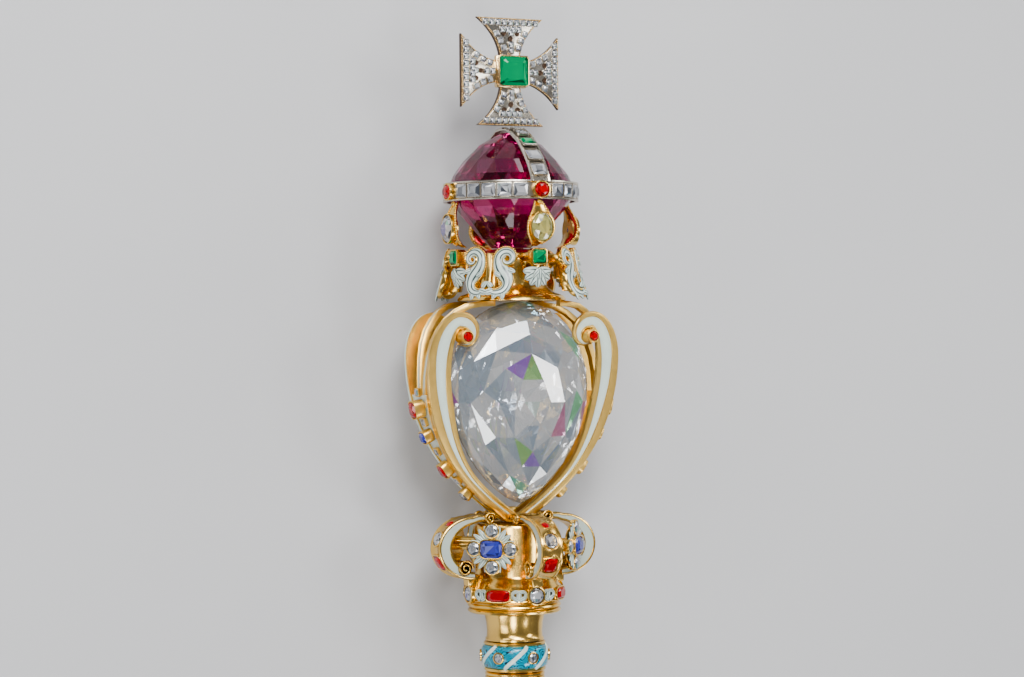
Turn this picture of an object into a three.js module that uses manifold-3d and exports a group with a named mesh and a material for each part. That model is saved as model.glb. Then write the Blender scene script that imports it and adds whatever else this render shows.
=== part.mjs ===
// A royal sceptre, lying on its back: a gold rod in three sections with enamelled collars and a round pommel,
// a crown of four scrolled brackets, an open enamelled heart that clasps a great pear-cut diamond, four pairs
// of scroll consoles, a faceted amethyst globe in a stone-set band with an arch, and a diamond cross.
// Every piece is drawn upright in millimetres: +Z runs up the rod from the pommel's end, -Y is the front and
// +X the right-hand side. The last group lays the whole thing down, head towards +Y and front up.
import * as THREE from "three";
import { ConvexGeometry } from "three/addons/geometries/ConvexGeometry.js";
import { mergeVertices } from "three/addons/utils/BufferGeometryUtils.js";
import Module from "manifold-3d";

const wasm = await Module();
wasm.setup();

// ---- Driving dimensions -------------------------------------------------------------------------
const LENGTH = 922; // pommel's end to the top of the cross
const REST_RADIUS = 25.4; // from the rod's axis to the surface that the sceptre lies on
const GAP = 0.3; // air between touching pieces
const FACE_GAP = 0.35; // the same on slanting faces
const SIDES = 20; // of a turned piece

const ROD_RADIUS = 7.6;
const ROD_END_RADIUS = 8.7;
const ROD_ENDS = [48, 262, 272, 496, 506, 732.2]; // bottom and top of the lower, middle and upper section
const COLLAR_RADIUS = 10.3;
const POMMEL_RADIUS = 25.9;
const NECK = { bottom: 741.0, top: 748.7, bottomRadius: 8.1, topRadius: 8.8 };

const BASE_BOTTOM = 749.0; // crown's base
const BAND_RADIUS = 13.8;
const DRUM_RADIUS = 11.5;
const DRUM_TOP = 774.9;
const BRACKET = { centreRadius: 14.5, centreZ: 768.3, reach: 11.07, rise: 9.2, width: 6.8 };
const BELLY_WALL = 4.1;
const CROWN_WALL = 2.2;
const TOP_VOLUTE = { radius: 9.4, z: 776.7, size: 1.5 };
const FOOT_VOLUTE = { radius: 17.3, z: 762.6, size: 2.1 };
const CLUSTER_FACE = 18.4; // the cluster plate's front, from the axis

const HEART_POINT_Z = 773.4; // where the two outer edges would meet
const HEART_TIP_Z = 775.4; // where the point is cut flat
const HEART_SIDE = [0, HEART_POINT_Z, 15, 783, 31, 797, 30.5, 822]; // Bezier points of the lower side: x, z pairs
const SHOULDER = { x: 21, z: 822, reach: 9.5, rise: 14.4 };
const EYE = { x: 20.15, z: 829.2, radius: 2.1 };
const SCROLL_TOP_RADIUS = 7.2; // from the eye's centre
const SCROLL_END_RADIUS = 2.5;
const PLATE = 1.8; // thickness of the front and rear frames
const FACE_AT_TIP = 2.6; // the front face's distance from the mid-plane, at the tip
const LEAN = 0.137; // how much further forward each millimetre up
const SPLIT_Z = 814; // where a side parts into front arm, strap and rear arm
const BOSS_HEIGHT = 2.8;
const TIP_CLEARANCE = 0.7; // extra room behind the front frame's tip, which swings back as the clasp opens
const HINGE = { forward: 4.4, z: 777.0, radius: 1.0, inner: 1.9, outer: 3.6 }; // the clasp's axis and its knuckles' ends

const STONE = { halfWidth: 22.7, tipZ: 780.9, topZ: 839.4, girdle: 4, front: 9.7, back: 18 };
const SEAT_BOTTOM = 840.3;
const SEAT_TOP = 854.4;
const CONSOLE_RADIUS = 17.8;
const CONSOLE_ANGLE = 35; // degrees from each emerald
const CONSOLE_SPREAD = 0.22; // outwards for each millimetre down
const EMERALD_Z = 852.0;

const BAND = { inner: 18.6, outer: 19.8, bottom: 868.2, top: 873.8 };
const ARCH_WIDTH = 6.2;
const CROSS = { span: 31.4, arm: 21.4, neck: 6.2, thickness: 2.4, centreZ: 906.3 };

// ---- Materials ----------------------------------------------------------------------------------
const finish = (color, roughness, metalness) => new THREE.MeshStandardMaterial({ color, roughness, metalness });
const gold = finish(0xd8a640, 0.22, 1);
const silver = finish(0xcfc9b8, 0.3, 1);
const whiteEnamel = finish(0xdce8e0, 0.2, 0);
const turquoiseEnamel = finish(0x2fa3b0, 0.2, 0);
const diamond = finish(0xeef4fb, 0.03, 0);
const yellowDiamond = finish(0xe8dfa6, 0.05, 0);
const ruby = finish(0xb01020, 0.08, 0);
const sapphire = finish(0x3a3fa0, 0.08, 0);
const emerald = finish(0x0a8a56, 0.08, 0);
const amethyst = finish(0x5a1248, 0.05, 0);

// ---- Solids -------------------------------------------------------------------------------------
function solidOf(geometry) {
  const loose = geometry.index ? geometry.toNonIndexed() : geometry;
  const bare = new THREE.BufferGeometry().setAttribute("position", loose.getAttribute("position").clone());
  const merged = mergeVertices(bare, 1e-4);
  return new wasm.Manifold(new wasm.Mesh({
    numProp: 3,
    vertProperties: merged.attributes.position.array,
    triVerts: new Uint32Array(merged.index.array),
  }));
}

function geometryOf(solid) {
  const mesh = solid.getMesh();
  const geometry = new THREE.BufferGeometry();
  geometry.setAttribute("position", new THREE.BufferAttribute(new Float32Array(mesh.vertProperties), mesh.numProp));
  return geometry.setIndex(new THREE.BufferAttribute(new Uint32Array(mesh.triVerts), 1));
}

const join = (...parts) => geometryOf(parts.map(solidOf).reduce((all, next) => all.add(next)));
const cut = (body, ...tools) => geometryOf(tools.map(solidOf).reduce((left, tool) => left.subtract(tool), solidOf(body)));
const common = (a, b) => geometryOf(solidOf(a).intersect(solidOf(b)));

// A turned piece from [radius, z] pairs, bottom to top, that start and end on the axis.
function turned(profile, sides = SIDES) {
  const points = profile.map(([radius, z]) => new THREE.Vector2(radius, z));
  return new THREE.LatheGeometry(points, sides).rotateX(Math.PI / 2);
}

// A flat outline of [x, z] pairs, extruded towards the front between two distances from the mid-plane.
function plate(outline, back, front) {
  const shape = new THREE.Shape(outline.map(([x, z]) => new THREE.Vector2(x, z)));
  const made = new THREE.ExtrudeGeometry(shape, { depth: front - back, bevelEnabled: false });
  return made.rotateX(Math.PI / 2).translate(0, -back, 0);
}

function block(width, depth, height, x = 0, forward = 0, z = 0) {
  return new THREE.BoxGeometry(width, depth, height).translate(x, -forward, z);
}

// Turns a piece drawn at the front round the rod: 90 is the right-hand side, 180 the back.
const turnedTo = (geometry, degrees) => geometry.clone().rotateZ(THREE.MathUtils.degToRad(degrees));

// Stands a piece drawn facing +Z on a face that looks forward, so many millimetres from the axis.
const facingOut = (geometry, radius, z) => geometry.rotateX(Math.PI / 2).translate(0, -radius, z);

// A block with slanting sides, facing +Z from 0: a setting, or a stone's crown.
function taper(width, height, rise, topShare, sides = 4) {
  const scale = sides === 4 ? Math.SQRT1_2 : 0.5;
  const made = new THREE.CylinderGeometry(scale * topShare, scale, rise, sides).rotateX(Math.PI / 2);
  return made.rotateZ(Math.PI / sides).scale(width, height, 1).translate(0, 0, rise / 2);
}

const bezier = (p, t) => {
  const weights = [(1 - t) ** 3, 3 * t * (1 - t) ** 2, 3 * t * t * (1 - t), t ** 3];
  return [0, 1].map((axis) => weights.reduce((sum, w, i) => sum + w * p[2 * i + axis], 0));
};
const smooth = (from, to, value) => {
  const share = Math.min(1, Math.max(0, (value - from) / (to - from)));
  return share * share * (3 - 2 * share);
};
const steps = (count) => Array.from({ length: count + 1 }, (_, i) => i / count);

// A ribbon between a line of points and the same line moved in by its own width, both as [x, z] pairs.
function ribbon(points, widths) {
  const inner = points.map(([x, z], i) => {
    const [ax, az] = points[Math.max(0, i - 1)];
    const [bx, bz] = points[Math.min(points.length - 1, i + 1)];
    const long = Math.hypot(bx - ax, bz - az);
    return [x - ((bz - az) / long) * widths[i], z + ((bx - ax) / long) * widths[i]];
  });
  return [...points, ...inner.reverse()];
}

const sceptre = new THREE.Group();
const head = new THREE.Group();
const clasp = new THREE.Group();
head.add(clasp);
sceptre.add(head);

function add(name, geometry, material, group = head) {
  const mesh = new THREE.Mesh(geometry, material);
  mesh.name = name;
  group.add(mesh);
}

// ---- Rod and pommel -----------------------------------------------------------------------------
// A straight section with a raised ring at each end.
function rodSection(bottom, top) {
  const ring = 2.4;
  const fillet = 1.4;
  return turned([
    [0, bottom], [ROD_END_RADIUS, bottom], [ROD_END_RADIUS, bottom + ring], [ROD_RADIUS, bottom + ring + fillet],
    [ROD_RADIUS, top - ring - fillet], [ROD_END_RADIUS, top - ring], [ROD_END_RADIUS, top], [0, top],
  ]);
}

// A cushion-shaped enamelled collar between two ends.
function collar(bottom, top) {
  const lip = ROD_END_RADIUS + 0.3;
  const half = (top - bottom) / 2;
  const bulge = [-0.75, -0.3, 0.3, 0.75].map((share) => [
    lip + (COLLAR_RADIUS - lip) * Math.sqrt(1 - share * share) ** 0.7 + 0.1,
    bottom + half * (1 + share),
  ]);
  return turned([[0, bottom], [lip, bottom], ...bulge, [lip, top], [0, top]]);
}

// A flattened ball with a raised girdle, cut flat where it lies.
function pommel() {
  const top = ROD_ENDS[0] - GAP;
  const middle = 25;
  const ball = [-75, -55, -35, -16].map((degrees) => {
    const angle = THREE.MathUtils.degToRad(degrees);
    return [24.2 * Math.cos(angle), middle + 22 * Math.sin(angle)];
  });
  const upper = ball.map(([radius, z]) => [radius, 2 * middle - z]).reverse();
  const body = turned([
    [0, 0], [5, 0], [6, 2.2], ...ball, [POMMEL_RADIUS, 20.5], [POMMEL_RADIUS, 22.3], [25.0, 22.8], [25.0, 27.2],
    [POMMEL_RADIUS, 27.7], [POMMEL_RADIUS, 29.5], ...upper, [9.4, 46], [9.4, top], [0, top],
  ], 24);
  return cut(body, block(60, 4, 60, 0, -REST_RADIUS - 2, 25));
}

function makeRod() {
  const [lower, lowerTop, middle, middleTop, upper, upperTop] = ROD_ENDS;
  const collarTop = NECK.bottom - GAP;
  add("pommel", pommel(), gold);
  add("rod_lower", rodSection(lower, lowerTop - GAP), gold);
  add("collar_lower", collar(lowerTop, middle - GAP), turquoiseEnamel);
  add("rod_middle", rodSection(middle, middleTop - GAP), gold);
  add("collar_middle", collar(middleTop, upper - GAP), turquoiseEnamel);
  add("rod_upper", rodSection(upper, upperTop - GAP), gold);
  add("collar_upper", collar(upperTop, collarTop), turquoiseEnamel);
  add("neck", turned([
    [0, NECK.bottom], [NECK.bottomRadius + 0.5, NECK.bottom], [NECK.bottomRadius, NECK.bottom + 1],
    [NECK.topRadius, NECK.top], [0, NECK.top],
  ]), gold);
}

// ---- Crown of brackets --------------------------------------------------------------------------
// The moulded base with its eight settings, and the drum that stands on it.
function crownBase() {
  const body = turned([
    [0, BASE_BOTTOM], [9.2, BASE_BOTTOM], [13.2, 749.2], [13.7, 749.9], [13.1, 750.6], [13.7, 751.3], [13.1, 752.2],
    [BAND_RADIUS, 753.2], [BAND_RADIUS, 756.6], [13.0, 757.8], [DRUM_RADIUS + 0.4, 759.4], [DRUM_RADIUS, 760.2],
    [DRUM_RADIUS, DRUM_TOP - 0.8], [DRUM_RADIUS - 0.8, DRUM_TOP], [0, DRUM_TOP],
  ]);
  const settings = [0, 90, 180, 270].flatMap((side) => [
    turnedTo(facingOut(taper(5.8, 5.8, 3.8, 0.9, 8), 12.2, 754.6), side),
    turnedTo(facingOut(taper(8.6, 4.4, 2.6, 0.92), 12.8, 754.6), side + 45),
    turnedTo(block(5, 5.2, 1.9, 0, 15, 757.8), side),
  ]);
  return join(body, ...settings);
}

// The side view of one bracket: a C that curls in at both ends, as [distance from the axis, z] pairs.
function bracketOutline() {
  const { centreRadius, centreZ, reach, rise } = BRACKET;
  const sweep = (angle, wall) => [
    centreRadius + (reach - wall) * Math.cos(angle),
    centreZ + (rise - wall) * Math.sin(angle),
  ];
  const angles = [-92, -70, -50, -30, -10, 10, 30, 50, 70, 90].map(THREE.MathUtils.degToRad);
  const wall = (angle) => CROWN_WALL + (BELLY_WALL - CROWN_WALL) * Math.max(0, Math.cos(angle));
  const outer = angles.map((angle) => sweep(angle, 0));
  const inner = angles.map((angle) => sweep(angle, wall(angle))).reverse();
  const lead = [TOP_VOLUTE.radius, TOP_VOLUTE.z];
  return [...outer, [lead[0], lead[1] + 0.9], [lead[0], lead[1] - 1.4], ...inner];
}

function volute({ radius, z, size }, width) {
  return new THREE.CylinderGeometry(size, size, width, 12).rotateZ(Math.PI / 2).translate(0, -radius, z);
}

function bracket() {
  const side = plate(bracketOutline(), -BRACKET.width / 2, BRACKET.width / 2);
  const body = side.rotateZ(-Math.PI / 2); // the outline's x now runs forward
  const knobs = BRACKET.width + 0.8;
  return join(body, volute(TOP_VOLUTE, knobs), volute(FOOT_VOLUTE, knobs));
}

// A length of the hinge's barrel between two distances from the middle.
function knuckle(from, to) {
  const barrel = new THREE.CylinderGeometry(HINGE.radius, HINGE.radius, to - from, 12).rotateZ(Math.PI / 2);
  return barrel.translate((from + to) / 2, -HINGE.forward, HINGE.z);
}

// The front bracket carries the two outer knuckles on ears behind its top volute.
function hingeBracket() {
  const { inner, outer, forward, z } = HINGE;
  const reach = TOP_VOLUTE.radius - forward;
  const ears = [1, -1].flatMap((right) => {
    const [from, to] = right > 0 ? [inner + GAP, outer] : [-outer, -inner - GAP];
    return [knuckle(from, to), block(to - from, reach, 1.4, (from + to) / 2, forward + reach / 2, z)];
  });
  return join(bracket(), ...ears);
}

// A rosette of enamelled leaves and four round settings about an oblong one, on a short stem.
function cluster() {
  const petals = 12;
  const outline = steps(2 * petals).slice(1).map((share) => {
    const angle = share * 2 * Math.PI;
    const reach = 6.5 + 0.8 * Math.cos(petals * angle);
    return [reach * Math.cos(angle), reach * Math.sin(angle)];
  });
  const shape = new THREE.Shape(outline.map(([x, y]) => new THREE.Vector2(x, y)));
  const leaf = new THREE.ExtrudeGeometry(shape, { depth: 1.2, bevelEnabled: false }).translate(0, 0, -1.2);
  const round = [[0, 5.3], [0, -5.3], [5.7, 0], [-5.7, 0]].map(([x, y]) =>
    taper(4.4, 4.4, 1.7, 0.88, 8).translate(x, y, -0.4));
  const stem = new THREE.CylinderGeometry(2, 2, 5.6, 8).rotateX(Math.PI / 2).translate(0, 0, -3.9);
  return facingOut(join(leaf, stem, taper(7.4, 5.8, 1.4, 0.92).translate(0, 0, -0.4), ...round), CLUSTER_FACE, 768.7);
}

const SIDE_NAMES = ["front", "right", "back", "left"];

function makeCrown() {
  add("crown_base", crownBase(), gold);
  SIDE_NAMES.forEach((name, i) => {
    const made = i === 0 ? hingeBracket() : bracket();
    add(`bracket_${name}`, turnedTo(made, 90 * i), gold);
  });
  ["front_right", "back_right", "back_left", "front_left"].forEach((name, i) => {
    add(`cluster_${name}`, turnedTo(cluster(), 90 * i + 45), whiteEnamel);
    const blue = facingOut(taper(6.6, 5.0, 1.4, 0.66), CLUSTER_FACE + 1 + GAP, 768.7);
    add(`sapphire_${name}`, turnedTo(blue, 90 * i + 45), sapphire);
  });
}

// ---- Heart --------------------------------------------------------------------------------------
// The right-hand arm's outer edge from the tip up the side, over the shoulder and into the scroll, and its width.
function armLine() {
  const line = [];
  steps(10).forEach((t) => line.push({ at: bezier(HEART_SIDE, t), width: 3.6 + 3.5 * smooth(0.35, 0.85, t) }));
  steps(5).slice(1).forEach((t) => {
    const angle = (t * Math.PI) / 2;
    line.push({
      at: [SHOULDER.x + SHOULDER.reach * Math.cos(angle), SHOULDER.z + SHOULDER.rise * Math.sin(angle)],
      width: 7.1 + (SCROLL_TOP_RADIUS - EYE.radius - 7.1) * smooth(0.1, 1, t),
    });
  });
  steps(8).slice(1).forEach((t) => {
    const angle = Math.PI * (0.5 + 1.15 * t);
    const radius = SCROLL_TOP_RADIUS + (SCROLL_END_RADIUS - SCROLL_TOP_RADIUS) * Math.min(1, 1.15 * t);
    line.push({
      at: [EYE.x + radius * Math.cos(angle), EYE.z + radius * Math.sin(angle)],
      width: Math.max(0.4, radius - EYE.radius + 0.3),
    });
  });
  return line;
}

const mirrored = (outline) => outline.map(([x, z]) => [-x, z]).reverse();

// Leans a frame drawn at the mid-plane: side 1 is the front one and -1 the rear one.
function leaning(geometry, side) {
  const slope = side * LEAN;
  const start = side * (FACE_AT_TIP - LEAN * HEART_TIP_Z);
  return geometry.applyMatrix4(new THREE.Matrix4().set(1, 0, 0, 0, 0, 1, -slope, -start, 0, 0, 1, 0, 0, 0, 0, 1));
}

const faceAt = (z) => FACE_AT_TIP + LEAN * (z - HEART_TIP_Z);

// Both arms of one frame, with the bosses that hold the rubies in the scrolls' eyes.
function frame(side) {
  const line = armLine();
  const outline = ribbon(line.map((step) => step.at), line.map((step) => step.width));
  const back = side === 1 ? -PLATE : 0;
  const arms = [outline, mirrored(outline)].map((one) => leaning(plate(one, back, back + PLATE), side));
  const forward = side * (faceAt(EYE.z) + BOSS_HEIGHT / 2 - 0.6);
  const bosses = [EYE.x, -EYE.x].map((x) =>
    new THREE.CylinderGeometry(EYE.radius, EYE.radius, BOSS_HEIGHT + 1.2, 10).translate(x, -forward, EYE.z));
  return cut(join(...arms, ...bosses), block(20, 20, 6, 0, 0, HEART_TIP_Z - 3));
}

// The band behind the front frame round the lower heart, with the side settings: kept clear of the moving frame.
function sideBand(settings) {
  const upTo = steps(10).map((t) => bezier(HEART_SIDE, t)).filter(([, z]) => z < SPLIT_Z);
  const inset = upTo.map(([x, z]) => [Math.max(0, x - 0.3), z + 0.2]);
  const strip = ribbon(inset, inset.map(() => 2.2));
  const walls = [strip, mirrored(strip)].map((one) => plate(one, -15, 15));
  const clear = PLATE + FACE_GAP;
  const low = HEART_TIP_Z;
  const high = SPLIT_Z + 10;
  const wedge = new THREE.Shape([
    new THREE.Vector2(-faceAt(low) + 0.5, low), new THREE.Vector2(faceAt(low) - clear - TIP_CLEARANCE, low),
    new THREE.Vector2(faceAt(high) - clear, high), new THREE.Vector2(-faceAt(high) + 0.5, high),
  ]);
  const between = new THREE.ExtrudeGeometry(wedge, { depth: 80, bevelEnabled: false })
    .translate(0, 0, -40).rotateX(Math.PI / 2).rotateZ(-Math.PI / 2);
  return common(join(...walls, ...settings), between);
}

// One of the four straps that rise from the parting of a side to the seat above the diamond.
function strap(right, front) {
  const route = [[28.2, 1.6, 809], [28.3, 2.0, 818], [26.9, 3.6, 827], [23.2, 5.2, 834], [17.6, 7.4, 838.0], [10.4, 9.4, 838.7]];
  const curve = new THREE.CatmullRomCurve3(route.map(([x, forward, z]) => new THREE.Vector3(right * x, -front * forward, z)));
  const section = new THREE.Shape([
    new THREE.Vector2(-0.8, -1.2), new THREE.Vector2(0.8, -1.2), new THREE.Vector2(0.8, 1.2), new THREE.Vector2(-0.8, 1.2),
  ]);
  return new THREE.ExtrudeGeometry(section, { steps: 6, extrudePath: curve });
}

// Where a side stone stands: the point on the outer edge at a share of the lower side, and the way it faces.
function sideStand(t, right) {
  const [x, z] = bezier(HEART_SIDE, t);
  const [ax, az] = bezier(HEART_SIDE, t - 0.01);
  const [bx, bz] = bezier(HEART_SIDE, t + 0.01);
  const along = new THREE.Vector3(right * (bx - ax), 0, bz - az).normalize();
  const forward = new THREE.Vector3(0, -1, 0);
  const out = along.clone().cross(forward).multiplyScalar(right);
  const across = along.clone().cross(out);
  return new THREE.Matrix4().makeBasis(across, along, out).setPosition(right * x, 0, z);
}

const SIDE_STONES = [
  { name: "ruby_side_upper", at: 0.81, width: 4.6, height: 5.4, rise: 2.4, material: ruby },
  { name: "sapphire_side", at: 0.68, width: 3.8, height: 3.8, rise: 2.0, material: sapphire },
  { name: "ruby_side_lower", at: 0.495, width: 3.8, height: 4.8, rise: 1.8, material: ruby },
  { name: "diamond_side", at: 0.33, width: 2.6, height: 3.4, rise: 1.7, material: diamond },
];

function heartFrame() {
  const stem = block(5, 3.6, 4.2, 0, -2.2, 777.5);
  const straps = [[1, 1], [1, -1], [-1, 1], [-1, -1]].map(([right, front]) => strap(right, front));
  const settings = SIDE_STONES.flatMap(({ at, width, height, rise }) => [1, -1].map((right) =>
    taper(width + 0.7, height + 0.7, rise + 0.8, 0.94).translate(0, 0, -0.8).applyMatrix4(sideStand(at, right))));
  return join(frame(-1), sideBand(settings), stem, ...straps);
}

// The front frame, with a tongue from its tip to the middle knuckle of the hinge.
function claspFrame() {
  const tongue = block(2 * HINGE.inner, HINGE.forward - 1.6, 1.4, 0, (HINGE.forward + 1.6) / 2, HINGE.z);
  return join(frame(1), knuckle(-HINGE.inner, HINGE.inner), tongue);
}

// The great stone: a pear outline at the girdle, with rings of corners that step in to the table and the culet.
function pearStone() {
  const middle = (STONE.topZ + STONE.tipZ) / 2;
  const half = (STONE.topZ - STONE.tipZ) / 2;
  const widest = 0.886; // the largest value of sin(a) sin(a/2) ** 0.4
  const ring = (share, forward, count, offset) => steps(count).slice(1).map((step) => {
    const angle = (step + offset / count) * 2 * Math.PI;
    const across = (STONE.halfWidth * Math.sin(angle) * Math.abs(Math.sin(angle / 2)) ** 0.4) / widest;
    return new THREE.Vector3(share * across, -STONE.girdle - forward, middle - share * half * Math.cos(angle));
  });
  return new ConvexGeometry([
    ...ring(0.5, STONE.front, 10, 0.5), ...ring(0.79, 0.6 * STONE.front, 10, 0), ...ring(1, 0.4, 20, 0),
    ...ring(1, -0.4, 20, 0), ...ring(0.7, -0.42 * STONE.back, 10, 0.5), ...ring(0.36, -0.78 * STONE.back, 10, 0),
    ...ring(0.05, -STONE.back, 5, 0.5),
  ]);
}

function makeHeart() {
  add("heart_frame", heartFrame(), gold);
  add("heart_clasp", claspFrame(), gold, clasp);
  add("great_diamond", pearStone(), diamond);
  const rubyFace = faceAt(EYE.z) + BOSS_HEIGHT + GAP;
  [["right", EYE.x], ["left", -EYE.x]].forEach(([name, x]) => {
    add(`ruby_clasp_${name}`, facingOut(taper(3.4, 3.4, 1.1, 0.6, 8), rubyFace, EYE.z).translate(x, 0, 0), ruby, clasp);
    const rear = turnedTo(facingOut(taper(3.4, 3.4, 1.1, 0.6, 8), rubyFace, EYE.z), 180).translate(x, 0, 0);
    add(`ruby_rear_${name}`, rear, ruby);
  });
  SIDE_STONES.forEach(({ name, at, width, height, rise, material }) => {
    [["right", 1], ["left", -1]].forEach(([side, right]) => {
      const cutStone = taper(width, height, 1.3, 0.7).translate(0, 0, rise + GAP);
      add(`${name}_${side}`, cutStone.applyMatrix4(sideStand(at, right)), material);
    });
  });
}

// ---- Seat and consoles --------------------------------------------------------------------------
// A calyx over the diamond, with a spoke, an emerald's setting and a shell of leaves on each side.
function mondeSeat() {
  const body = turned([
    [0, SEAT_BOTTOM], [15.2, SEAT_BOTTOM], [15.6, 840.9], [13.2, 841.6], [10.4, 843.4], [9.2, 847], [9.4, 850.4],
    [10.6, 852.4], [9.6, 853.8], [6.5, SEAT_TOP], [0, SEAT_TOP],
  ], 16);
  const shell = [[-3, 849], [-3.9, 847.2], [-2.6, 846.2], [-2.4, 844.4], [0, 843.2], [2.4, 844.4], [2.6, 846.2], [3.9, 847.2], [3, 849]];
  const side = join(
    block(3.4, 7.4, 2.6, 0, 12.5, EMERALD_Z),
    facingOut(taper(5.4, 5.0, 2.6, 0.94), 15.6, EMERALD_Z),
    plate(shell, 15.6, 17.2),
    block(2.2, 3, 5, 0, 15.4, 848.6),
  );
  return join(body, ...[0, 90, 180, 270].map((degrees) => turnedTo(side, degrees)));
}

// The middle line of one S-scroll, curl first: across is towards the emerald, and up from the scroll's foot.
function scrollLine() {
  const curl = steps(5).map((t) => {
    const angle = THREE.MathUtils.degToRad(-60 + 240 * t);
    const radius = 2.0 + 0.9 * t;
    return [2.0 + radius * Math.cos(angle), 11.5 + radius * Math.sin(angle)];
  });
  const sway = steps(3).slice(1).map((t) => bezier([-0.9, 11.5, -0.9, 7.4, 2.9, 6.2, 2.3, 2.9], t));
  const foot = steps(3).slice(1).map((t) => bezier([2.3, 2.9, 1.8, 0.9, -1.6, 0.6, -3.6, 2.6], t));
  return [...curl, ...sway, ...foot];
}

function scrollPlate() {
  const line = scrollLine();
  const count = line.length - 1;
  const half = line.map((_, i) => 1.05 + 0.55 * Math.sin((Math.PI * i) / count));
  const outline = ribbon(line, half.map((width) => -width)).slice(line.length).reverse();
  const inner = ribbon(line, half).slice(line.length);
  return plate([...outline, ...inner], 0, 1.7);
}

// Slopes a piece drawn at the front, so that it stands further out the lower it is below a level.
function spread(geometry, slope, level) {
  return geometry.applyMatrix4(new THREE.Matrix4().set(1, 0, 0, 0, 0, 1, slope, -slope * level, 0, 0, 1, 0, 0, 0, 0, 1));
}

// A pair of scrolls back to back on a post, turned away from each other towards the emeralds on each side.
function consolePair() {
  const flip = new THREE.Matrix4().makeScale(-1, 1, 1);
  const turn = 45 - CONSOLE_ANGLE;
  const scroll = scrollPlate().translate(0, -CONSOLE_RADIUS + 0.85, 840.2);
  const mirror = geometryOf(solidOf(scroll).transform(flip.elements));
  const post = block(3.0, 3.4, 9.6, 0, 14.7, 847.0);
  const rib = block(1.6, 3.0, 11.6, 0, 16.9, 847.3);
  return spread(join(turnedTo(scroll, turn), turnedTo(mirror, -turn), post, rib), CONSOLE_SPREAD, 855);
}

function makeSeat() {
  add("monde_seat", mondeSeat(), gold);
  ["front_right", "back_right", "back_left", "front_left"].forEach((name, i) => {
    add(`console_${name}`, turnedTo(consolePair(), 90 * i + 45), whiteEnamel);
  });
  SIDE_NAMES.forEach((name, i) => {
    const green = facingOut(taper(4.4, 4.2, 1.1, 0.7), 18.2 + GAP, EMERALD_Z);
    add(`emerald_${name}`, turnedTo(green, 90 * i), emerald);
  });
}

// ---- Globe, band and arch -----------------------------------------------------------------------
const GLOBE = [
  { radius: 3.0, z: 888.4, sides: 8 }, { radius: 9.2, z: 884.4, sides: 8 }, { radius: 13.9, z: 879.6, sides: 16 },
  { radius: 18.0, z: 873.4, sides: 16 }, { radius: 18.0, z: 869.4, sides: 16 }, { radius: 12.6, z: 862.4, sides: 16 },
  { radius: 8.4, z: 857.5, sides: 8 }, { radius: 5.6, z: 854.8, sides: 8 },
];

function globe() {
  const corners = GLOBE.flatMap(({ radius, z, sides }, row) => steps(sides).slice(1).map((share) => {
    const angle = (share + (row % 2) / (2 * sides)) * 2 * Math.PI;
    return new THREE.Vector3(radius * Math.cos(angle), radius * Math.sin(angle), z);
  }));
  return new ConvexGeometry(corners);
}

// The girdle, and the arch that springs from its front and back over the top of the globe.
function mondeBand() {
  const { inner, outer, bottom, top } = BAND;
  const girdle = new THREE.LatheGeometry([
    new THREE.Vector2(inner, bottom), new THREE.Vector2(outer, bottom), new THREE.Vector2(outer, top),
    new THREE.Vector2(inner, top), new THREE.Vector2(inner, bottom),
  ], 28).rotateX(Math.PI / 2);
  const ends = [0, 90, 180, 270].map((side) =>
    turnedTo(facingOut(taper(5.2, 5.4, 1.2, 0.9, 10), outer - 0.6, (bottom + top) / 2), side));
  const rise = [[19.3, top - 1], [18.7, 874.6], [14.4, 880.6], [9.6, 885.4], [3.2, 888.9], [0, 888.9]];
  const over = rise.map(([x, z]) => [x + (x > 0 ? 0.7 : 0), z + 1.1]).reverse();
  const half = [...rise, ...over];
  const arch = [half, mirrored(half)].map((one) => plate(one, -ARCH_WIDTH / 2, ARCH_WIDTH / 2).rotateZ(-Math.PI / 2));
  return join(girdle, ...ends, ...arch);
}

// A leaf-shaped plate with a round setting, standing between an emerald and the girdle.
function pendant() {
  const leaf = [[-1.1, 855.3], [-3.6, 857.4], [-4.6, 860], [-3.4, 863.6], [-1.1, 867.9], [1.1, 867.9], [3.4, 863.6], [4.6, 860], [3.6, 857.4], [1.1, 855.3]];
  const setting = facingOut(taper(7.6, 8.6, 2.0, 0.9, 14), 18.4, 860.2);
  return join(plate(leaf, 17.9, 18.9), setting);
}

function makeGlobe() {
  add("amethyst_globe", globe(), amethyst);
  add("monde_band", mondeBand(), silver);
  SIDE_NAMES.forEach((name, i) => {
    const red = facingOut(taper(3.8, 3.8, 1.0, 0.6, 8), BAND.outer + 0.6 + GAP, (BAND.bottom + BAND.top) / 2);
    add(`ruby_band_${name}`, turnedTo(red, 90 * i), ruby);
    add(`pendant_${name}`, turnedTo(pendant(), 90 * i), gold);
  });
  add("yellow_diamond_front", facingOut(taper(6.6, 7.6, 1.2, 0.66, 12), 20.4 + GAP, 860.2), yellowDiamond);
}

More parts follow.
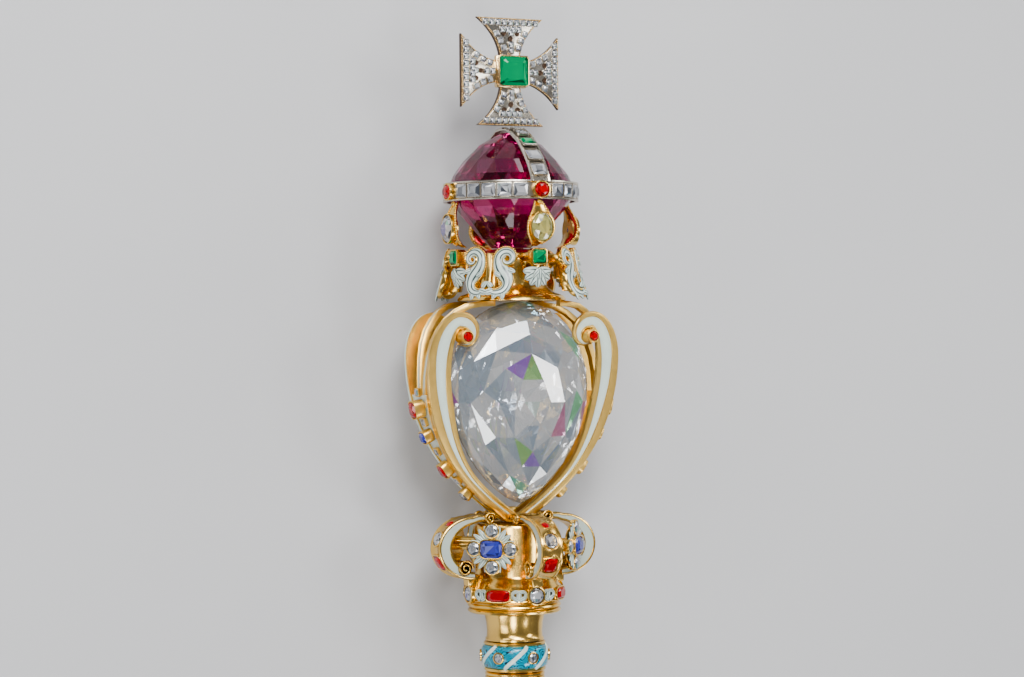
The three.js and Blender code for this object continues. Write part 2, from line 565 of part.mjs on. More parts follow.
// ---- Cross --------------------------------------------------------------------------------------
// Four arms that flare from the middle with hollow sides, a square setting on the front and a peg below.
function cross() {
  const end = CROSS.span / 2;
  const flare = CROSS.arm / 2;
  const waist = CROSS.neck / 2;
  const side = steps(7).map((t) => bezier([waist, waist + 0.6, waist + 0.4, 8.6, 6.4, 12.6, flare, end], t));
  const arm = [...side, ...side.map(([x, z]) => [-x, z]).reverse()];
  const arms = [0, 90, 180, 270].map((degrees) => {
    const flat = arm.map(([x, z]) => new THREE.Vector2(x, z).rotateAround(new THREE.Vector2(), THREE.MathUtils.degToRad(degrees)));
    return plate(flat.map(({ x, y }) => [x, y + CROSS.centreZ]), -CROSS.thickness / 2, CROSS.thickness / 2);
  });
  const middle = block(10.2, 3.0, 10.0, 0, 0.9, CROSS.centreZ);
  return join(...arms, middle);
}

function makeCross() {
  add("cross", cross(), silver);
  add("emerald_cross", facingOut(taper(9.0, 8.8, 1.5, 0.72), 2.4 + GAP, CROSS.centreZ), emerald);
}

makeRod();
makeCrown();
makeHeart();
makeSeat();
makeGlobe();
makeCross();

head.rotation.x = -Math.PI / 2;
head.position.set(0, -LENGTH / 2, REST_RADIUS);

export default sceptre;
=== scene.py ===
import functools
import math

import bmesh
import bpy
from bpy.props import FloatProperty, FloatVectorProperty
from mathutils import Matrix, Vector


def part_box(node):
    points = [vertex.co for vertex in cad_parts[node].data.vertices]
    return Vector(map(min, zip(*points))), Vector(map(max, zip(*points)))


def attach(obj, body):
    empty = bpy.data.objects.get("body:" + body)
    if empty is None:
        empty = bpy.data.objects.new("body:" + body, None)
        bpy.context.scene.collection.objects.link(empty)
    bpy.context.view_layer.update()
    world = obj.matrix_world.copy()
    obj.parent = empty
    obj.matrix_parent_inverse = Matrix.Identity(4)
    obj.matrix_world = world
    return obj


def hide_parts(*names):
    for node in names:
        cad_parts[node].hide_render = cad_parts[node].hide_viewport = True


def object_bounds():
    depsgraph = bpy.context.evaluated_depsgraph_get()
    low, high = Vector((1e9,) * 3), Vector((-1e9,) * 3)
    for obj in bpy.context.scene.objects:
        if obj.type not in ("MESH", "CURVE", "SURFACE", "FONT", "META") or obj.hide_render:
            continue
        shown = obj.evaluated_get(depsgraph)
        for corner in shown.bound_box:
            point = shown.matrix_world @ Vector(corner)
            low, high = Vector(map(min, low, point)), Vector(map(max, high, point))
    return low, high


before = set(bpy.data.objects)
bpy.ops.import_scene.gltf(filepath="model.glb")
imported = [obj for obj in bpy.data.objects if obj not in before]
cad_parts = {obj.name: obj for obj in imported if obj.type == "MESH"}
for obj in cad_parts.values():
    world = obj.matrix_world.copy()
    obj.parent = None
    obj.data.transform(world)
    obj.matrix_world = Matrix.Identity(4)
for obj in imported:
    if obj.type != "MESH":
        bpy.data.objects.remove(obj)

bl_info = {
    "name": "Sceptre",
    "version": (1, 0, 0),
    "blender": (4, 5, 0),
    "location": "3D View > Sidebar > Sceptre",
    "description": "Dresses the sceptre's solids with gold, enamel and cut stones",
    "category": "Object",
}

# Every piece is drawn in millimetres as (x to the right, h up from the pommel's end, n forward from the
# rod's axis). HOME takes that to the frame, in metres, with the sceptre lying on its back.
CAD_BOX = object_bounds()
ROD_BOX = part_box("rod_upper")
HOME = Matrix.Translation((0, CAD_BOX[0].y, (ROD_BOX[0].z + ROD_BOX[1].z) / 2)) @ Matrix.Scale(0.001, 4)
SIDES = {"front": 0, "right": 90, "back": 180, "left": 270}
CORNERS = {"front_right": 45, "back_right": 135, "back_left": 225, "front_left": 315}


def span(node):
    """A CAD node's lowest and highest corner in millimetres, in the drawing frame."""
    low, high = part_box(node)
    back = HOME.inverted()
    return back @ low, back @ high


def srgb(red, green, blue):
    """A colour given as 0 to 255 the way a screen shows it, as the shaders want it."""
    shares = (red / 255, green / 255, blue / 255)
    return tuple(s / 12.92 if s <= 0.04045 else ((s + 0.055) / 1.055) ** 2.4 for s in shares)


# ---- Sizes and colours that a user would change ---------------------------------------------------
def length(name, description, millimetres):
    return FloatProperty(
        name=name, description=description, default=millimetres / 1000, min=0.0, precision=5, unit="LENGTH",
    )


def tint(name, description, colour):
    return FloatVectorProperty(
        name=name, description=description, default=srgb(*colour), size=3, min=0, max=1, subtype="COLOR",
    )


class SceptreSizes(bpy.types.PropertyGroup):
    """Sizes of the dressing that the solids don't fix"""

    rod_radius: length("Rod radius", "Radius of the plain part of the rod", 7.6)
    ring_radius: length("Ring radius", "Radius of the rings at a rod section's ends", span("rod_upper")[1].x)
    collar_radius: length(
        "Collar radius", "Largest radius of the enamelled collars", span("collar_upper")[1].x,
    )
    pommel_radius: length("Pommel radius", "Radius of the pommel's raised girdle", 25.9)
    bracket_width: length("Bracket width", "Width of a crown bracket's gold face", 6.8)
    stripe: length("Enamel stripe", "Widest part of the enamel stripe on the heart's arms", 3.5)
    bead: length("Bead", "Radius of the small gold beads along the rims", 0.34)
    pave: length("Pave stone", "Side of a small stone in the cross", 1.85)
    arch_width: length("Arch width", "Width of the arch over the globe", 6.2)


class SceptreColours(bpy.types.PropertyGroup):
    """Colours of the sceptre's finishes"""

    gold: tint("Gold", "Polished gold", (240, 202, 122))
    silver: tint("Silver", "Silver that holds the diamonds", (205, 198, 186))
    enamel: tint("White enamel", "Opaque white enamel", (214, 229, 220))
    turquoise: tint("Turquoise enamel", "Enamel of the collars", (0, 158, 186))
    engraving: tint("Engraving", "Dark lines in the enamel", (40, 66, 70))
    diamond: tint("Diamond", "Clear stones", (248, 250, 255))
    yellow: tint("Yellow diamond", "The front pendant's stone", (224, 221, 142))
    ruby: tint("Ruby", "Red stones", (232, 10, 22))
    sapphire: tint("Sapphire", "Blue stones", (84, 92, 214))
    emerald: tint("Emerald", "Green stones", (0, 176, 112))
    amethyst: tint("Amethyst", "The globe", (188, 38, 106))


def size(name):
    return getattr(bpy.context.scene.sceptre_sizes, name) * 1000


def colour(name, share=1.0):
    return [value * share for value in getattr(bpy.context.scene.sceptre_colours, name)] + [1.0]


# ---- Materials ------------------------------------------------------------------------------------
def add_node(tree, kind, feeds=None, **settings):
    """A node with its settings, whose inputs take values or other nodes' outputs."""
    node = tree.nodes.new(kind)
    for key, value in settings.items():
        setattr(node, key, value)
    for key, value in (feeds or {}).items():
        if isinstance(value, bpy.types.NodeSocket):
            tree.links.new(value, node.inputs[key])
        else:
            node.inputs[key].default_value = value
    return node


def maths(tree, operation, first, second=0.0, clamp=False):
    feeds = {0: first, 1: second}
    return add_node(tree, "ShaderNodeMath", feeds, operation=operation, use_clamp=clamp).outputs[0]


def blended(tree, share, first, second, kind="MIX"):
    feeds = {0: share, 6: first, 7: second}
    return add_node(tree, "ShaderNodeMix", feeds, data_type="RGBA", blend_type=kind).outputs[2]


def ramp(tree, value, stops):
    node = add_node(tree, "ShaderNodeValToRGB", {0: value})
    while len(node.color_ramp.elements) < len(stops):
        node.color_ramp.elements.new(0.5)
    for element, (place, shade) in zip(node.color_ramp.elements, stops):
        element.position = place
        element.color = shade if len(shade) == 4 else (*shade, 1)
    return node.outputs[0]


def new_group(name, inputs, outputs):
    """An empty shader group with named sockets, and its two end nodes."""
    tree = bpy.data.node_groups.new(name, "ShaderNodeTree")
    for label, kind, value in inputs:
        socket = tree.interface.new_socket(label, in_out="INPUT", socket_type=kind)
        socket.default_value = value
    for label, kind in outputs:
        tree.interface.new_socket(label, in_out="OUTPUT", socket_type=kind)
    return tree, tree.nodes.new("NodeGroupInput"), tree.nodes.new("NodeGroupOutput")


FLOAT, COLOUR = "NodeSocketFloat", "NodeSocketColor"


@functools.lru_cache(None)
def handled_metal_and_shade_group():
    """Old polished metal: soft blotches, fine rubbing and painted shade that darkens the hollows."""
    tree, start, end = new_group(
        "Handled metal",
        [
            ("Bright", COLOUR, (1, 1, 1, 1)), ("Deep", COLOUR, (0.3, 0.2, 0.1, 1)), ("Gloss", FLOAT, 0.2),
            ("Rubbing", FLOAT, 0.1),
        ],
        [("Color", COLOUR), ("Roughness", FLOAT), ("Height", FLOAT)],
    )
    place = add_node(tree, "ShaderNodeTexCoord").outputs["Object"]
    broad = add_node(tree, "ShaderNodeTexNoise", {"Vector": place, "Scale": 160.0, "Detail": 3.0})
    fine = add_node(
        tree, "ShaderNodeTexNoise", {"Vector": place, "Scale": 900.0, "Detail": 4.0, "Roughness": 0.65},
    )
    # Painted shade: where the surface is hollow, the colour darkens towards Deep as if in shadow.
    form = add_node(tree, "ShaderNodeNewGeometry").outputs["Pointiness"]
    hollow_shade = add_node(
        tree, "ShaderNodeMapRange", {"Value": form, 1: 0.40, 2: 0.50, 3: 1.0, 4: 0.0},
    ).outputs[0]
    patch = add_node(
        tree, "ShaderNodeMapRange", {"Value": broad.outputs[0], 1: 0.45, 2: 0.8, 3: 0.0, 4: 0.25},
    ).outputs[0]
    # dark holds the random blotches and the painted shade in the hollows.
    dark = maths(tree, "MAXIMUM", maths(tree, "MULTIPLY", hollow_shade, 0.85), patch, True)
    tree.links.new(blended(tree, dark, start.outputs["Bright"], start.outputs["Deep"]), end.inputs["Color"])
    rub = maths(tree, "MULTIPLY", fine.outputs[0], start.outputs["Rubbing"])
    tree.links.new(
        maths(
            tree, "ADD", maths(tree, "ADD", start.outputs["Gloss"], rub),
            maths(tree, "MULTIPLY", dark, 0.18),
        ),
        end.inputs["Roughness"],
    )
    tree.links.new(
        maths(tree, "ADD", maths(tree, "MULTIPLY", fine.outputs[0], 0.3), broad.outputs[0]),
        end.inputs["Height"],
    )
    return tree


@functools.lru_cache(None)
def enamel_group():
    """Fired enamel: slightly uneven colour, pinholes, and painted shade that darkens it along the hollow
    edges.
    """
    tree, start, end = new_group(
        "Fired enamel",
        [("Body", COLOUR, (1, 1, 1, 1)), ("Soil", COLOUR, (0.2, 0.2, 0.2, 1)), ("Gloss", FLOAT, 0.15)],
        [("Color", COLOUR), ("Roughness", FLOAT), ("Height", FLOAT)],
    )
    place = add_node(tree, "ShaderNodeTexCoord").outputs["Object"]
    cloud = add_node(tree, "ShaderNodeTexNoise", {"Vector": place, "Scale": 220.0, "Detail": 4.0})
    pits = add_node(tree, "ShaderNodeTexVoronoi", {"Vector": place, "Scale": 700.0})
    form = add_node(tree, "ShaderNodeNewGeometry").outputs["Pointiness"]
    # Painted shade: the enamel darkens in its hollows as if in shadow.
    hollow_shade = add_node(
        tree, "ShaderNodeMapRange", {"Value": form, 1: 0.42, 2: 0.495, 3: 0.75, 4: 0.0},
    ).outputs[0]
    cloudy = add_node(
        tree, "ShaderNodeMapRange", {"Value": cloud.outputs[0], 1: 0.4, 2: 0.8, 3: 0.0, 4: 0.22},
    ).outputs[0]
    hole = add_node(
        tree, "ShaderNodeMapRange", {"Value": pits.outputs[0], 1: 0.02, 2: 0.09, 3: 0.5, 4: 0.0},
    ).outputs[0]
    # The clouding and pinholes are the enamel's own; the darkening in the hollows is painted shade.
    soil_and_shade = maths(tree, "MAXIMUM", maths(tree, "MAXIMUM", hollow_shade, cloudy), hole, True)
    tree.links.new(blended(tree, soil_and_shade, start.outputs["Body"], start.outputs["Soil"]), end.inputs["Color"])
    tree.links.new(
        maths(tree, "ADD", start.outputs["Gloss"], maths(tree, "MULTIPLY", soil_and_shade, 0.3)),
        end.inputs["Roughness"],
    )
    tree.links.new(maths(tree, "SUBTRACT", cloud.outputs[0], hole), end.inputs["Height"])
    return tree


@functools.lru_cache(None)
def facet_group():
    """Cut stone: each facet takes its own painted shade, from the way it faces, with a few painted flashes of
    colour.
    """
    tree, start, end = new_group(
        "Facets",
        [
            ("Light", COLOUR, (1, 1, 1, 1)), ("Dark", COLOUR, (0.3, 0.3, 0.3, 1)),
            ("Flash", COLOUR, (0.2, 0.6, 1, 1)), ("Flashes", FLOAT, 0.1), ("Hues", FLOAT, 0.0),
        ],
        [("Color", COLOUR), ("Roughness", FLOAT)],
    )
    facing = add_node(tree, "ShaderNodeNewGeometry").outputs["True Normal"]
    whole = add_node(
        tree, "ShaderNodeVectorMath", {0: facing, 1: (0.02, 0.02, 0.02)}, operation="SNAP",
    ).outputs[0]
    chance = add_node(tree, "ShaderNodeTexWhiteNoise", {"Vector": whole}, noise_dimensions="3D")
    other = maths(tree, "FRACT", maths(tree, "MULTIPLY", chance.outputs["Value"], 7.31))
    cloud = add_node(
        tree, "ShaderNodeTexNoise",
        {"Vector": add_node(tree, "ShaderNodeTexCoord").outputs["Object"], "Scale": 120.0, "Detail": 2.0},
    )
    # Painted facet shade: light and dark facets stand in for the reflections in a cut stone.
    contrast = add_node(
        tree, "ShaderNodeMapRange", {"Value": chance.outputs["Value"], 1: 0.22, 2: 0.62, 3: 0.0, 4: 1.0},
    ).outputs[0]
    shade = blended(tree, contrast, start.outputs["Dark"], start.outputs["Light"])
    turn = maths(
        tree, "MULTIPLY",
        maths(tree, "SUBTRACT", maths(tree, "FRACT", maths(tree, "MULTIPLY", other, 43.7)), 0.5),
        start.outputs["Hues"],
    )
    # Painted flashes of colour stand in for the stone's fire.
    fire = add_node(
        tree, "ShaderNodeHueSaturation",
        {"Hue": maths(tree, "ADD", turn, 0.5), "Color": start.outputs["Flash"]},
    ).outputs[0]
    flashing = maths(tree, "LESS_THAN", other, start.outputs["Flashes"])
    tree.links.new(blended(tree, maths(tree, "MULTIPLY", flashing, 0.75), shade, fire), end.inputs["Color"])
    tree.links.new(maths(tree, "MULTIPLY", cloud.outputs[0], 0.03), end.inputs["Roughness"])
    return tree


def new_material(name):
    material = bpy.data.materials.new(name)
    material.use_nodes = True
    tree = material.node_tree
    tree.nodes.clear()
    shader = tree.nodes.new("ShaderNodeBsdfPrincipled")
    end = tree.nodes.new("ShaderNodeOutputMaterial")
    tree.links.new(shader.outputs[0], end.inputs["Surface"])
    return material, tree, shader


def bumped(tree, shader, height, strength, distance=0.0001):
    bump = add_node(tree, "ShaderNodeBump", {"Height": height, "Strength": strength, "Distance": distance})
    tree.links.new(bump.outputs[0], shader.inputs["Normal"])


def use_group(tree, group, **values):
    return add_node(
        tree, "ShaderNodeGroup", {key.replace("_", " "): value for key, value in values.items()},
        node_tree=group,
    )


def metal(name, base, deep, gloss, rubbing, strength=0.12):
    material, tree, shader = new_material(name)
    shader.inputs["Metallic"].default_value = 1.0
    made = use_group(tree, handled_metal_and_shade_group(), Bright=base, Deep=deep, Gloss=gloss, Rubbing=rubbing)
    tree.links.new(made.outputs["Color"], shader.inputs["Base Color"])
    tree.links.new(made.outputs["Roughness"], shader.inputs["Roughness"])
    bumped(tree, shader, made.outputs["Height"], strength)
    return material


def enamel(name, body, soil_and_shade, gloss=0.16, coat=0.6):
    material, tree, shader = new_material(name)
    shader.inputs["Coat Weight"].default_value = coat
    shader.inputs["Coat Roughness"].default_value = 0.06
    made = use_group(tree, enamel_group(), Body=body, Soil=soil_and_shade, Gloss=gloss)
    tree.links.new(made.outputs["Color"], shader.inputs["Base Color"])
    tree.links.new(made.outputs["Roughness"], shader.inputs["Roughness"])
    bumped(tree, shader, made.outputs["Height"], 0.15)
    return material, tree, shader, made


def engraved(name, body, line, count):
    """Enamel with dark lines that run along the piece and meet at its ends, drawn on its own map."""
    material, tree, shader, made = enamel(name, body, colour("engraving", 1.6))
    map_ = add_node(tree, "ShaderNodeUVMap", uv_map="along").outputs[0]
    across = add_node(tree, "ShaderNodeSeparateXYZ", {0: map_}).outputs[1]
    wave = maths(tree, "ABSOLUTE", maths(tree, "SINE", maths(tree, "MULTIPLY", across, math.pi * count)))
    groove = add_node(
        tree, "ShaderNodeMapRange", {"Value": wave, 1: 0.30, 2: 0.62, 3: 1.0, 4: 0.0},
    ).outputs[0]
    tree.links.new(
        blended(tree, maths(tree, "MULTIPLY", groove, 0.95), made.outputs["Color"], line),
        shader.inputs["Base Color"],
    )
    height = maths(tree, "SUBTRACT", made.outputs["Height"], maths(tree, "MULTIPLY", groove, 2.0))
    bumped(tree, shader, height, 0.35, 0.00015)
    return material


def arabesque():
    """Turquoise enamel with dark curling lines."""
    material, tree, shader, made = enamel("turquoise_enamel", colour("turquoise"), colour("turquoise", 0.35))
    place = add_node(tree, "ShaderNodeTexCoord").outputs["Object"]
    bend = add_node(tree, "ShaderNodeTexNoise", {"Vector": place, "Scale": 330.0, "Detail": 0.0})
    swirl = maths(
        tree, "ABSOLUTE",
        maths(tree, "SUBTRACT", maths(tree, "FRACT", maths(tree, "MULTIPLY", bend.outputs[0], 9.0)), 0.5),
    )
    line = add_node(tree, "ShaderNodeMapRange", {"Value": swirl, 1: 0.13, 2: 0.20, 3: 1.0, 4: 0.0}).outputs[0]
    dark = blended(tree, line, made.outputs["Color"], srgb(8, 30, 52) + (1,))
    tree.links.new(dark, shader.inputs["Base Color"])
    bumped(tree, shader, maths(tree, "SUBTRACT", made.outputs["Height"], line), 0.3)
    return material


def gem(name, light, dark, flash, flashes, ior, through=1.0, hues=0.0):
    material, tree, shader = new_material(name)
    shader.inputs["IOR"].default_value = ior
    shader.inputs["Transmission Weight"].default_value = through
    shader.inputs["Metallic"].default_value = 0.0
    made = use_group(tree, facet_group(), Light=light, Dark=dark, Flash=flash, Flashes=flashes, Hues=hues)
    tree.links.new(made.outputs["Color"], shader.inputs["Base Color"])
    tree.links.new(made.outputs["Roughness"], shader.inputs["Roughness"])
    return material


def floor_material():
    material, tree, shader = new_material("pale_floor")
    place = add_node(tree, "ShaderNodeTexCoord").outputs["Object"]
    cloud = add_node(tree, "ShaderNodeTexNoise", {"Vector": place, "Scale": 3.0, "Detail": 5.0})
    tree.links.new(
        ramp(tree, cloud.outputs[0], [(0.3, srgb(196, 196, 198)), (0.7, srgb(206, 206, 207))]),
        shader.inputs["Base Color"],
    )
    shader.inputs["Roughness"].default_value = 0.7
    return material


@functools.lru_cache(None)
def finish(name):
    """The material of that finish, made the first time that it is asked for."""
    white = (1, 1, 1, 1)
    # The metals' deep colours and the enamels' soil colours also give the painted shade in hollows; the
    # stones' light, dark and flash colours give painted facet shade and painted fire.
    makers = {
        "gold": lambda: metal("gold", colour("gold"), srgb(120, 66, 20) + (1,), 0.13, 0.14),
        "satin_gold": lambda: metal("satin_gold", colour("gold"), srgb(120, 66, 20) + (1,), 0.24, 0.22, 0.3),
        "pale_gold": lambda: metal(
            "pale_gold", srgb(236, 208, 160) + (1,), srgb(110, 76, 50) + (1,), 0.16, 0.14,
        ),
        # Dark silver: partly its own oxide, partly painted shade for the cross's shaded sides.
        "old_silver": lambda: metal("old_silver", srgb(96, 78, 66) + (1,), srgb(26, 18, 14) + (1,), 0.3, 0.2),
        "silver": lambda: metal("silver", colour("silver"), srgb(80, 64, 52) + (1,), 0.16, 0.16),
        "white_enamel": lambda: enamel("white_enamel", colour("enamel"), srgb(140, 146, 136) + (1,))[0],
        "lined_enamel": lambda: engraved("lined_enamel", colour("enamel"), colour("engraving", 0.7), 3.0),
        "turquoise_enamel": arabesque,
        "diamond": lambda: gem(
            "diamond", colour("diamond"), srgb(96, 104, 118) + (1,), srgb(130, 215, 235) + (1,), 0.07, 2.42,
            0.62, 0.3,
        ),
        "great_diamond": lambda: gem(
            "great_diamond", white, srgb(196, 210, 224) + (1,), srgb(96, 206, 240) + (1,), 0.12, 2.42, 0.74,
            0.8,
        ),
        "yellow_diamond": lambda: gem(
            "yellow_diamond", colour("yellow"), colour("yellow", 0.55), white, 0.10, 2.3, 0.55,
        ),
        "ruby": lambda: gem(
            "ruby", colour("ruby"), colour("ruby", 0.4), srgb(255, 80, 80) + (1,), 0.10, 1.77, 0.45,
        ),
        "sapphire": lambda: gem(
            "sapphire", colour("sapphire"), colour("sapphire", 0.4), srgb(160, 170, 255) + (1,), 0.15, 1.77,
            0.5,
        ),
        "emerald": lambda: gem(
            "emerald", colour("emerald"), colour("emerald", 0.22), srgb(70, 225, 150) + (1,), 0.15, 1.58,
            0.45,
        ),
        "amethyst": lambda: gem(
            "amethyst", colour("amethyst"), colour("amethyst", 0.25), srgb(246, 120, 186) + (1,), 0.14,
            1.55, 0.9,
        ),
        "floor": floor_material,
    }
    return makers[name]()


# ---- Shapes ---------------------------------------------------------------------------------------
def fresh():
    part = bmesh.new()
    part.loops.layers.uv.new("along")
    return part


def kept(part, limit=38, material=None):
    """The finished shape as a mesh: closed, facing out, and smooth up to that angle between faces."""
    bmesh.ops.remove_doubles(part, verts=part.verts, dist=0.002)
    bmesh.ops.recalc_face_normals(part, faces=part.faces)
    for face in part.faces:
        face.smooth = limit > 0
        if material is not None:
            face.material_index = material
    for edge in part.edges:
        edge.smooth = len(edge.link_faces) == 2 and edge.calc_face_angle(0) < math.radians(limit)
    mesh = bpy.data.meshes.new("shape")
    part.to_mesh(mesh)
    part.free()
    return mesh


def put(piece, mesh, place=None, material=None):
    """Adds a finished shape to a piece, where place puts it."""
    verts, faces = len(piece.verts), len(piece.faces)
    piece.from_mesh(mesh)
    piece.verts.ensure_lookup_table()
    piece.faces.ensure_lookup_table()
    if place is not None:
        bmesh.ops.transform(piece, matrix=place, verts=piece.verts[verts:])
        if place.determinant() < 0:
            bmesh.ops.reverse_faces(piece, faces=piece.faces[faces:])
    if material is not None:
        for face in piece.faces[faces:]:
            face.material_index = material


def hand_over(piece, name, finishes, stands_for=(), body="sceptre"):
    """Makes the piece's object in the frame, hangs it on the body that it rides on, and hides the CAD parts
    that it stands for.
    """
    piece.transform(HOME)
    mesh = bpy.data.meshes.new(name)
    piece.to_mesh(mesh)
    piece.free()
    for one in finishes:
        mesh.materials.append(finish(one))
    made = bpy.data.objects.new(name, mesh)
    bpy.context.scene.collection.objects.link(made)
    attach(made, body)
    if stands_for:
        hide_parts(*stands_for)
    return made


def move(x=0.0, h=0.0, n=0.0):
    return Matrix.Translation((x, h, n))


def round_rod(degrees):
    """Turns what is drawn at the front round the rod: 90 is the right-hand side."""
    return Matrix.Rotation(math.radians(degrees), 4, "Y")


def at_side(degrees, radius, height):
    """A place on the side, for what is drawn facing +Z."""
    return round_rod(degrees) @ move(0, height, radius)


def turned(profile, steps=64, closed=False):
    """A piece turned about the rod's axis from (radius, height) pairs."""
    part = fresh()
    verts = [part.verts.new((radius, height, 0)) for radius, height in profile]
    pairs = list(zip(verts, verts[1:])) + ([(verts[-1], verts[0])] if closed else [])
    edges = [part.edges.new(pair) for pair in pairs]
    bmesh.ops.spin(
        part, geom=verts + edges, cent=(0, 0, 0), axis=(0, 1, 0), dvec=(0, 0, 0), angle=2 * math.pi,
        steps=steps, use_merge=True,
    )
    return part


def button(profile, steps=24):
    """A small turned piece from (radius, forward) pairs, facing +Z."""
    part = turned(profile, steps)
    part.transform(Matrix.Rotation(math.pi / 2, 4, "X"))
    return part


def slab(outline, low, high, bevel=0.0, segments=2):
    """A flat outline of (x, h) pairs, extruded forward from low to high, with its edges eased."""
    part = fresh()
    face = part.faces.new([part.verts.new((x, h, low)) for x, h in outline])
    made = bmesh.ops.extrude_face_region(part, geom=[face])["geom"]
    top = [one for one in made if isinstance(one, bmesh.types.BMVert)]
    bmesh.ops.translate(part, verts=top, vec=(0, 0, high - low))
    bmesh.ops.recalc_face_normals(part, faces=part.faces)
    if bevel:
        edges = [edge for edge in part.edges if edge.calc_face_angle(0) > math.radians(35)]
        bmesh.ops.bevel(
            part, geom=edges, offset=bevel, offset_type="OFFSET", segments=segments, profile=0.5,
            affect="EDGES", material=-1, clamp_overlap=True,
        )
    return part


def rectangle(left, bottom, right, top):
    return [(left, bottom), (right, bottom), (right, top), (left, top)]


def carried(sections, finishes=None, looped=False, across=None):
    """Carries a ring of points from section to section, and closes the ends unless it is looped.
    The map "along" runs with the travel one way, and with the given shares round the ring the other way."""
    part = fresh()
    layer = part.loops.layers.uv["along"]
    ring = [part.verts.new(point) for point in sections[0]]
    count = len(ring)
    edges = [part.edges.new((ring[i], ring[(i + 1) % count])) for i in range(count)]
    if not looped:
        part.faces.new(ring)
    travelled = 0.0
    for before, section in zip(sections, sections[1:]):
        made = bmesh.ops.extrude_edge_only(part, edges=edges)["geom"]
        new = {one for one in made if isinstance(one, bmesh.types.BMVert)}
        following = [next(e.other_vert(v) for e in v.link_edges if e.other_vert(v) in new) for v in ring]
        for vert, point in zip(following, section):
            vert.co = point
        further = travelled + (Vector(section[0]) - Vector(before[0])).length
        for i in range(count):
            j = (i + 1) % count
            face = part.faces.get((ring[i], ring[j], following[j], following[i]))
            face.material_index = finishes[i] if finishes else 0
            for loop in face.loops:
                first_side = loop.vert in (ring[i], following[i])
                step = i if first_side else i + 1
                loop[layer].uv = (
                    travelled if loop.vert in (ring[i], ring[j]) else further,
                    across[step] if across else step / count,
                )
        ring, travelled = following, further
        edges = [part.edges.get((ring[i], ring[(i + 1) % count])) for i in range(count)]
    if not looped:
        part.faces.new(ring)
    return part


def bezier(points, t):
    """A point on a cubic curve through four (x, y) corners given in a row."""
    weights = ((1 - t) ** 3, 3 * t * (1 - t) ** 2, 3 * t * t * (1 - t), t ** 3)
    return tuple(sum(w * points[2 * i + axis] for i, w in enumerate(weights)) for axis in (0, 1))


def frond(long, width, thick, rise=0.0, sway=0.0, blunt=0.55):
    """A domed leaf that grows along +X, bending up by rise and sideways by sway, with a map across it."""
    sections = []
    for t in steps(12):
        half = width / 2 * (math.sin(math.pi * (0.12 + 0.88 * t) ** 0.8) ** blunt if t < 1 else 0.02) + 0.03
        x, y, z = long * t, sway * t * t, rise * t * t
        lift = thick * (0.35 + 0.65 * half / (width / 2 + 0.03))
        shape = [
            (-half, 0), (-0.92 * half, 0.55 * lift), (-0.5 * half, 0.9 * lift), (0, lift),
            (0.5 * half, 0.9 * lift), (0.92 * half, 0.55 * lift), (half, 0),
        ]
        sections.append([(x, y + u, z + v) for u, v in shape])
    return kept(carried(sections, across=[0, 0.06, 0.28, 0.5, 0.72, 0.94, 1.0, 0.0]), 50)


def smooth(start, end, value):
    share = min(1.0, max(0.0, (value - start) / (end - start)))
    return share * share * (3 - 2 * share)


def steps(count, first=0):
    return [i / count for i in range(first, count + 1)]


def normals(line):
    """For each (x, h) point of a line, the way to its left."""
    result = []
    for i in range(len(line)):
        (ax, ay), (bx, by) = line[max(0, i - 1)], line[min(len(line) - 1, i + 1)]
        long = math.hypot(bx - ax, by - ay) or 1.0
        result.append((-(by - ay) / long, (bx - ax) / long))
    return result


def tube(line, radius, sides=8):
    """A round wire along a line of 3-D points, with a radius or one for each point."""
    sections = []
    points = [Vector(p) for p in line]
    side = None
    for i, point in enumerate(points):
        along = (points[min(i + 1, len(points) - 1)] - points[max(i - 1, 0)]).normalized()
        if side is None:
            side = along.orthogonal().normalized()
        side = (side - along * side.dot(along)).normalized()
        up = along.cross(side)
        thick = radius[i] if isinstance(radius, (list, tuple)) else radius
        sections.append(
            [
                point + thick * (math.cos(a) * side + math.sin(a) * up)
                for a in (2 * math.pi * k / sides for k in range(sides))
            ]
        )
    return carried(sections)


@functools.lru_cache(None)
def bead_shape(radius=1.0):
    part = fresh()
    bmesh.ops.create_icosphere(part, subdivisions=2, radius=radius)
    return kept(part, 60)


def beads(piece, line, radius, material, pitch=2.1):
    """Round beads side by side along a line of 3-D points."""
    points = [Vector(p) for p in line]
    left = 0.0
    for a, b in zip(points, points[1:]):
        long = (b - a).length
        while left <= long:
            put(
                piece, bead_shape(), Matrix.Translation(a.lerp(b, left / long)) @ Matrix.Scale(radius, 4),
                material,
            )
            left += pitch * radius
        left -= long


# ---- Stones and settings --------------------------------------------------------------------------
def round_rim(width, height=None, count=16):
    height = height or width
    return tuple(
        (width / 2 * math.cos(2 * math.pi * k / count), height / 2 * math.sin(2 * math.pi * k / count))
        for k in range(count)
    )


def cushion_rim(width, height, count=16, power=0.55):
    rim = []
    for k in range(count):
        a = 2 * math.pi * (k + 0.5) / count
        c, s = math.cos(a), math.sin(a)
        rim.append(
            (width / 2 * math.copysign(abs(c) ** power, c), height / 2 * math.copysign(abs(s) ** power, s))
        )
    return tuple(rim)


def square_rim(width, height, corner=0.26):
    w, h, c = width / 2, height / 2, corner * min(width, height) / 2
    return (
        (w, h - c), (w - c, h), (c - w, h), (-w, h - c), (-w, c - h), (c - w, -h), (w - c, -h), (w, c - h),
    )


